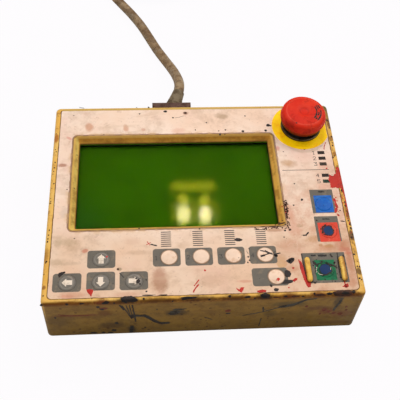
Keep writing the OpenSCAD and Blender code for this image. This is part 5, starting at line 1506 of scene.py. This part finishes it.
def makeJacket():
    # The jacket reads the length stored along it
    d = startMaterial("leadJacket", 0.6)
    along = d.node("ShaderNodeAttribute", attribute_name="along").outputs["Fac"]
    d.colour = d.blend(d.ramp(d.noise(60.0, 5.0, 0.62), 0.34, 0.68), (160, 140, 110), (134, 110, 80))
    given = {"W": along, "Scale": 70.0, "Detail": 4.0}
    band = d.node("ShaderNodeTexNoise", given, noise_dimensions="1D").outputs["Fac"]
    d.lay(d.ramp(band, 0.5, 0.66), (108, 86, 60), 0.6)
    soil = d.mask("grime", 130.0, 0.5, 0.14, 12.0)
    d.lay(soil, (84, 58, 34), 0.6)
    d.wear(("grime", (90.0, 0.36, 0.12, 19.0), (150, 140, 122), 0.6),
           ("scuffs", (60.0, 0.012, 0.7, 1.4), (58, 46, 34), 0.6),
           ("specks", (300.0, 0.22, 0.2), (40, 32, 26), 0.7))
    grain = d.noise(900.0, 3.0)
    return endMaterial(d, d.fit(grain, 0.14, 0.5), d.plus(grain, d.times(soil, 0.8)), 0.00012, 0.6)


finishes["jacket"] = makeJacket()
# node: finish, slot, sharp edges from this angle on, body, name
leadEnds = {
    "gland_block": ("gland", "gland_brown", 30, "case", "glandBlock"),
    "gland_screws": ("zinc", "screw_steel", 30, "case", "glandScrews"),
    "lead_boot": ("boot", "black_rubber", 35, "case", "leadBoot"),
    "coil_tie": ("tie", "black_plastic", 35, "case", "coilTie"),
    "plug_boot": ("boot", "black_rubber", 35, "case", "plugBoot"),
    "plug_shell": ("plugMetal", "plug_metal", 30, "case", "plugShell"),
    "plug_ring": ("plugMetal", "plug_metal", 30, "plug_ring", "plugRing"),
    "plug_insert": ("insert", "black_plastic", 30, "case", "plugInsert"),
    "plug_contacts": ("brass", "contact_brass", 30, "case", "plugContacts"),
}
for node, facts in leadEnds.items():
    dress(node, *facts)


def ridgeTree():
    # Ridges round a ring: one thin block at every point of a circle about the X axis
    d, given = pieceTree("ringRidges", {"Count": 48, "Radius": 0.0139, "Ridge Length": 0.014, "Ridge Width": 0.0008,
                                        "Ridge Height": 0.0006})
    ring = d.node("GeometryNodeCurvePrimitiveCircle", {"Resolution": given["Count"], "Radius": given["Radius"]})
    points = d.node("GeometryNodeCurveToPoints", {"Curve": ring.outputs["Curve"]}, mode="EVALUATED").outputs["Points"]
    sizes = [given["Ridge " + side] for side in ("Height", "Width", "Length")]
    block = d.node("GeometryNodeMeshCube", {"Size": d.node("ShaderNodeCombineXYZ", sizes).outputs[0]}).outputs["Mesh"]
    place = d.node("GeometryNodeInputPosition").outputs[0]
    facing = d.node("FunctionNodeAlignRotationToVector", {"Vector": place}, axis="X").outputs["Rotation"]
    spread = d.node("GeometryNodeInstanceOnPoints", {"Points": points, "Instance": block, "Rotation": facing})
    turned = d.node("GeometryNodeTransform", {"Geometry": spread.outputs["Instances"],
                                              "Rotation": (0.0, math.pi / 2, 0.0)}).outputs["Geometry"]
    seat = d.node("GeometryNodeInstanceOnPoints", {"Points": given["Geometry"], "Instance": turned})
    return endTree(d, given, seat.outputs["Instances"])


ringLow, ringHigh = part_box("plug_ring")
ringFacts = {"ridges": 54, "radius": (ringHigh.z - ringLow.z) / 2 / mm, "sunk": 0.42, "length": 13.0, "width": 0.85,
             "height": 0.9}
ringMiddle = [(a + b) / 2 / mm for a, b in zip(ringLow, ringHigh)]
ridges = runTree(pointHolder("ringRidges", [ringMiddle]), ridgeTree(), {
    "Count": ringFacts["ridges"], "Radius": (ringFacts["radius"] - ringFacts["sunk"]) * mm,
    "Ridge Length": ringFacts["length"] * mm, "Ridge Width": ringFacts["width"] * mm,
    "Ridge Height": ringFacts["height"] * mm, "Finish": finishes["plugMetal"]})
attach(ridges, "plug_ring")

lead = {
    "diameter": 9.5,            # mm
    "start": (-19, 92, 38),
    "coilCentre": (-30, 380),
    "innerTurn": 42.75,         # mm, radius of the smallest turn
    "columns": 4,
    "layers": 3,
    "stepFrom": (235.0, 125.0, 15.0),       # degrees at which each layer steps to its next column
    "climbFrom": (180.0, 70.0, 360.0),      # and at which its last turn climbs
    "stepOver": 110.0,          # degrees that a step or a climb takes
    "sides": 20,
    "ringStep": 3.0,            # mm between rings of the tube
}
leadRise = lead["diameter"] / 2
coilTop = lead["layers"] * lead["diameter"]
onCoil = coilTop + leadRise
plugHeight = coilTop + 14
leadRoute = [
    (-18.2, 106, 38.1), (-14.8, 117, 38.2), (-11.7, 127, 37.8), (-10.3, 138, 35), (-10.5, 149, 30),
    (-11.7, 161, 23.5), (-13.6, 174, 16.5), (-17.2, 188, 10.5), (-22.9, 203, 6.5),
    (-30.1, 219, leadRise), (-38, 237, leadRise), (-46, 255, leadRise), (-56, 273, leadRise),
    (-67, 290, leadRise), (-78, 307, leadRise), (-88, 325, leadRise), (-95, 343, leadRise),
    (-99.5, 361, leadRise),
]
tailRoute = [                   # from the coil's centre
    (-42.6, 7, coilTop - 3), (-40.8, 24, onCoil - 0.4), (-33, 40, onCoil), (-18, 51, onCoil),
    (0, 56, onCoil), (14, 54, onCoil), (26, 47, onCoil), (35, 37, onCoil), (39, 24, onCoil),
    (39, 10, onCoil + 1), (35, -3, onCoil + 3), (26, -14, onCoil + 5.5), (14, -21, onCoil + 8),
    (0, -23, plugHeight), (-14, -23, plugHeight),
]


def ease(x):
    x = min(max(x, 0.0), 1.0)
    return x * x * (3 - 2 * x)


def coilPoint(turned):
    # turned: degrees wound clockwise since the lead met the coil
    turn, phase = divmod(turned, 360.0)
    layer, place = divmod(int(turn), lead["columns"])
    inward = layer % 2 == 0
    column = (lead["columns"] - 1 - place) if inward else place
    rise = 0.0
    if place == lead["columns"] - 1:
        rise = ease((phase - lead["climbFrom"][layer]) / lead["stepOver"])
    else:
        column += (-1 if inward else 1) * ease((phase - lead["stepFrom"][layer]) / lead["stepOver"])
    radius = lead["innerTurn"] + lead["diameter"] * column
    height = leadRise + lead["diameter"] * (layer + rise)
    angle = math.radians(180.0 - turned)
    centre = lead["coilCentre"]
    return (centre[0] + radius * math.cos(angle), centre[1] + radius * math.sin(angle), height)


def smoothLine(points, step):
    # A curve through the points (centripetal, so that it never loops), cut to even steps
    p = [Vector(q) for q in points]
    p = [2 * p[0] - p[1]] + p + [2 * p[-1] - p[-2]]
    cuts = 12
    dense = []
    for i in range(1, len(p) - 2):
        level = list(p[i - 1:i + 3])
        knots = [0.0]
        for a, b in zip(level, level[1:]):
            knots.append(knots[-1] + math.sqrt((b - a).length))
        ta, tb, tc, td = knots
        a, b, c, d = level
        for k in range(cuts):
            t = tb + (tc - tb) * k / cuts
            a1 = a * ((tb - t) / (tb - ta)) + b * ((t - ta) / (tb - ta))
            a2 = b * ((tc - t) / (tc - tb)) + c * ((t - tb) / (tc - tb))
            a3 = c * ((td - t) / (td - tc)) + d * ((t - tc) / (td - tc))
            b1 = a1 * ((tc - t) / (tc - ta)) + a2 * ((t - ta) / (tc - ta))
            b2 = a2 * ((td - t) / (td - tb)) + a3 * ((t - tb) / (td - tb))
            dense.append(b1 * ((tc - t) / (tc - tb)) + b2 * ((t - tb) / (tc - tb)))
    dense.append(p[-2])
    run = [0.0]
    for a, b in zip(dense, dense[1:]):
        run.append(run[-1] + (b - a).length)
    count = max(2, round(run[-1] / step))
    even, j = [], 0
    for i in range(count + 1):
        want = run[-1] * i / count
        while j < len(run) - 2 and run[j + 1] < want:
            j += 1
        share = (want - run[j]) / max(run[j + 1] - run[j], 1e-9)
        even.append(dense[j].lerp(dense[j + 1], min(max(share, 0.0), 1.0)))
    return even


def leadLine():
    centre = lead["coilCentre"]
    turns = lead["columns"] * lead["layers"] - 1
    coil = [coilPoint(15.0 * i) for i in range(turns * 24)]
    tail = [(x + centre[0], y + centre[1], z) for x, y, z in tailRoute]
    return smoothLine([lead["start"]] + leadRoute + coil + tail, lead["ringStep"])


def lineObject(name, points):
    curve = bpy.data.curves.new(name, "CURVE")
    curve.dimensions = "3D"
    spline = curve.splines.new("POLY")
    spline.points.add(len(points) - 1)
    for spot, place in zip(spline.points, points):
        spot.co = (*place, 1.0)
    return addObject(name, curve)


def tubeTree():
    d, given = pieceTree("leadTube", {"Radius": 0.005, "Sides": 12})
    run = d.node("GeometryNodeSplineParameter").outputs["Length"]
    keep = d.node("GeometryNodeStoreNamedAttribute", {"Geometry": given["Geometry"], "Name": "along", "Value": run},
                  domain="POINT", data_type="FLOAT").outputs["Geometry"]
    profile = d.node("GeometryNodeCurvePrimitiveCircle", {"Resolution": given["Sides"], "Radius": given["Radius"]})
    sweep = d.node("GeometryNodeCurveToMesh", {"Curve": keep, "Profile Curve": profile.outputs["Curve"],
                                               "Fill Caps": True}).outputs["Mesh"]
    return endTree(d, given, d.node("GeometryNodeSetShadeSmooth", {"Geometry": sweep}).outputs["Geometry"])


leadPoints = [p * mm for p in leadLine()]
leadCord = runTree(lineObject("leadCord", leadPoints), tubeTree(), {
    "Radius": lead["diameter"] / 2 * mm, "Sides": lead["sides"], "Finish": finishes["jacket"]})
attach(leadCord, "case")
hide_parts("lead_tube", "lead_coil", "lead_tail")
report("lead and plug")


# Back cover and the works inside

dress("back_cover", "cover", "case_yellow")
dress("cover_screws", "zinc", "screw_steel")
dress("cover_seal", "seal", "black_rubber")
spring = dress("stop_spring", "spring", "spring_steel", 50)
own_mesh(spring)
inner = {
    "clearSheet": ("keypad_spacer", "keypad_circuit"), "spring": ("snap_domes",), "foam": ("window_foam",),
    "blackPlastic": ("stop_nut", "contact_block"), "ivory": ("stop_plunger", "tail_socket", "lead_header"),
    "frameSteel": ("lcd_frame",), "backlight": ("lcd_backlight",), "board": ("lcd_board", "main_board"),
    "zinc": ("lcd_screws", "board_screws"), "lamp": ("lamps",), "chip": ("chips",), "harness": ("harness",),
}
for finish, nodes in inner.items():
    for node in nodes:
        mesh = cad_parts[node].data
        mesh.materials.clear()
        mesh.materials.append(finishes[finish])
report("back and inside")
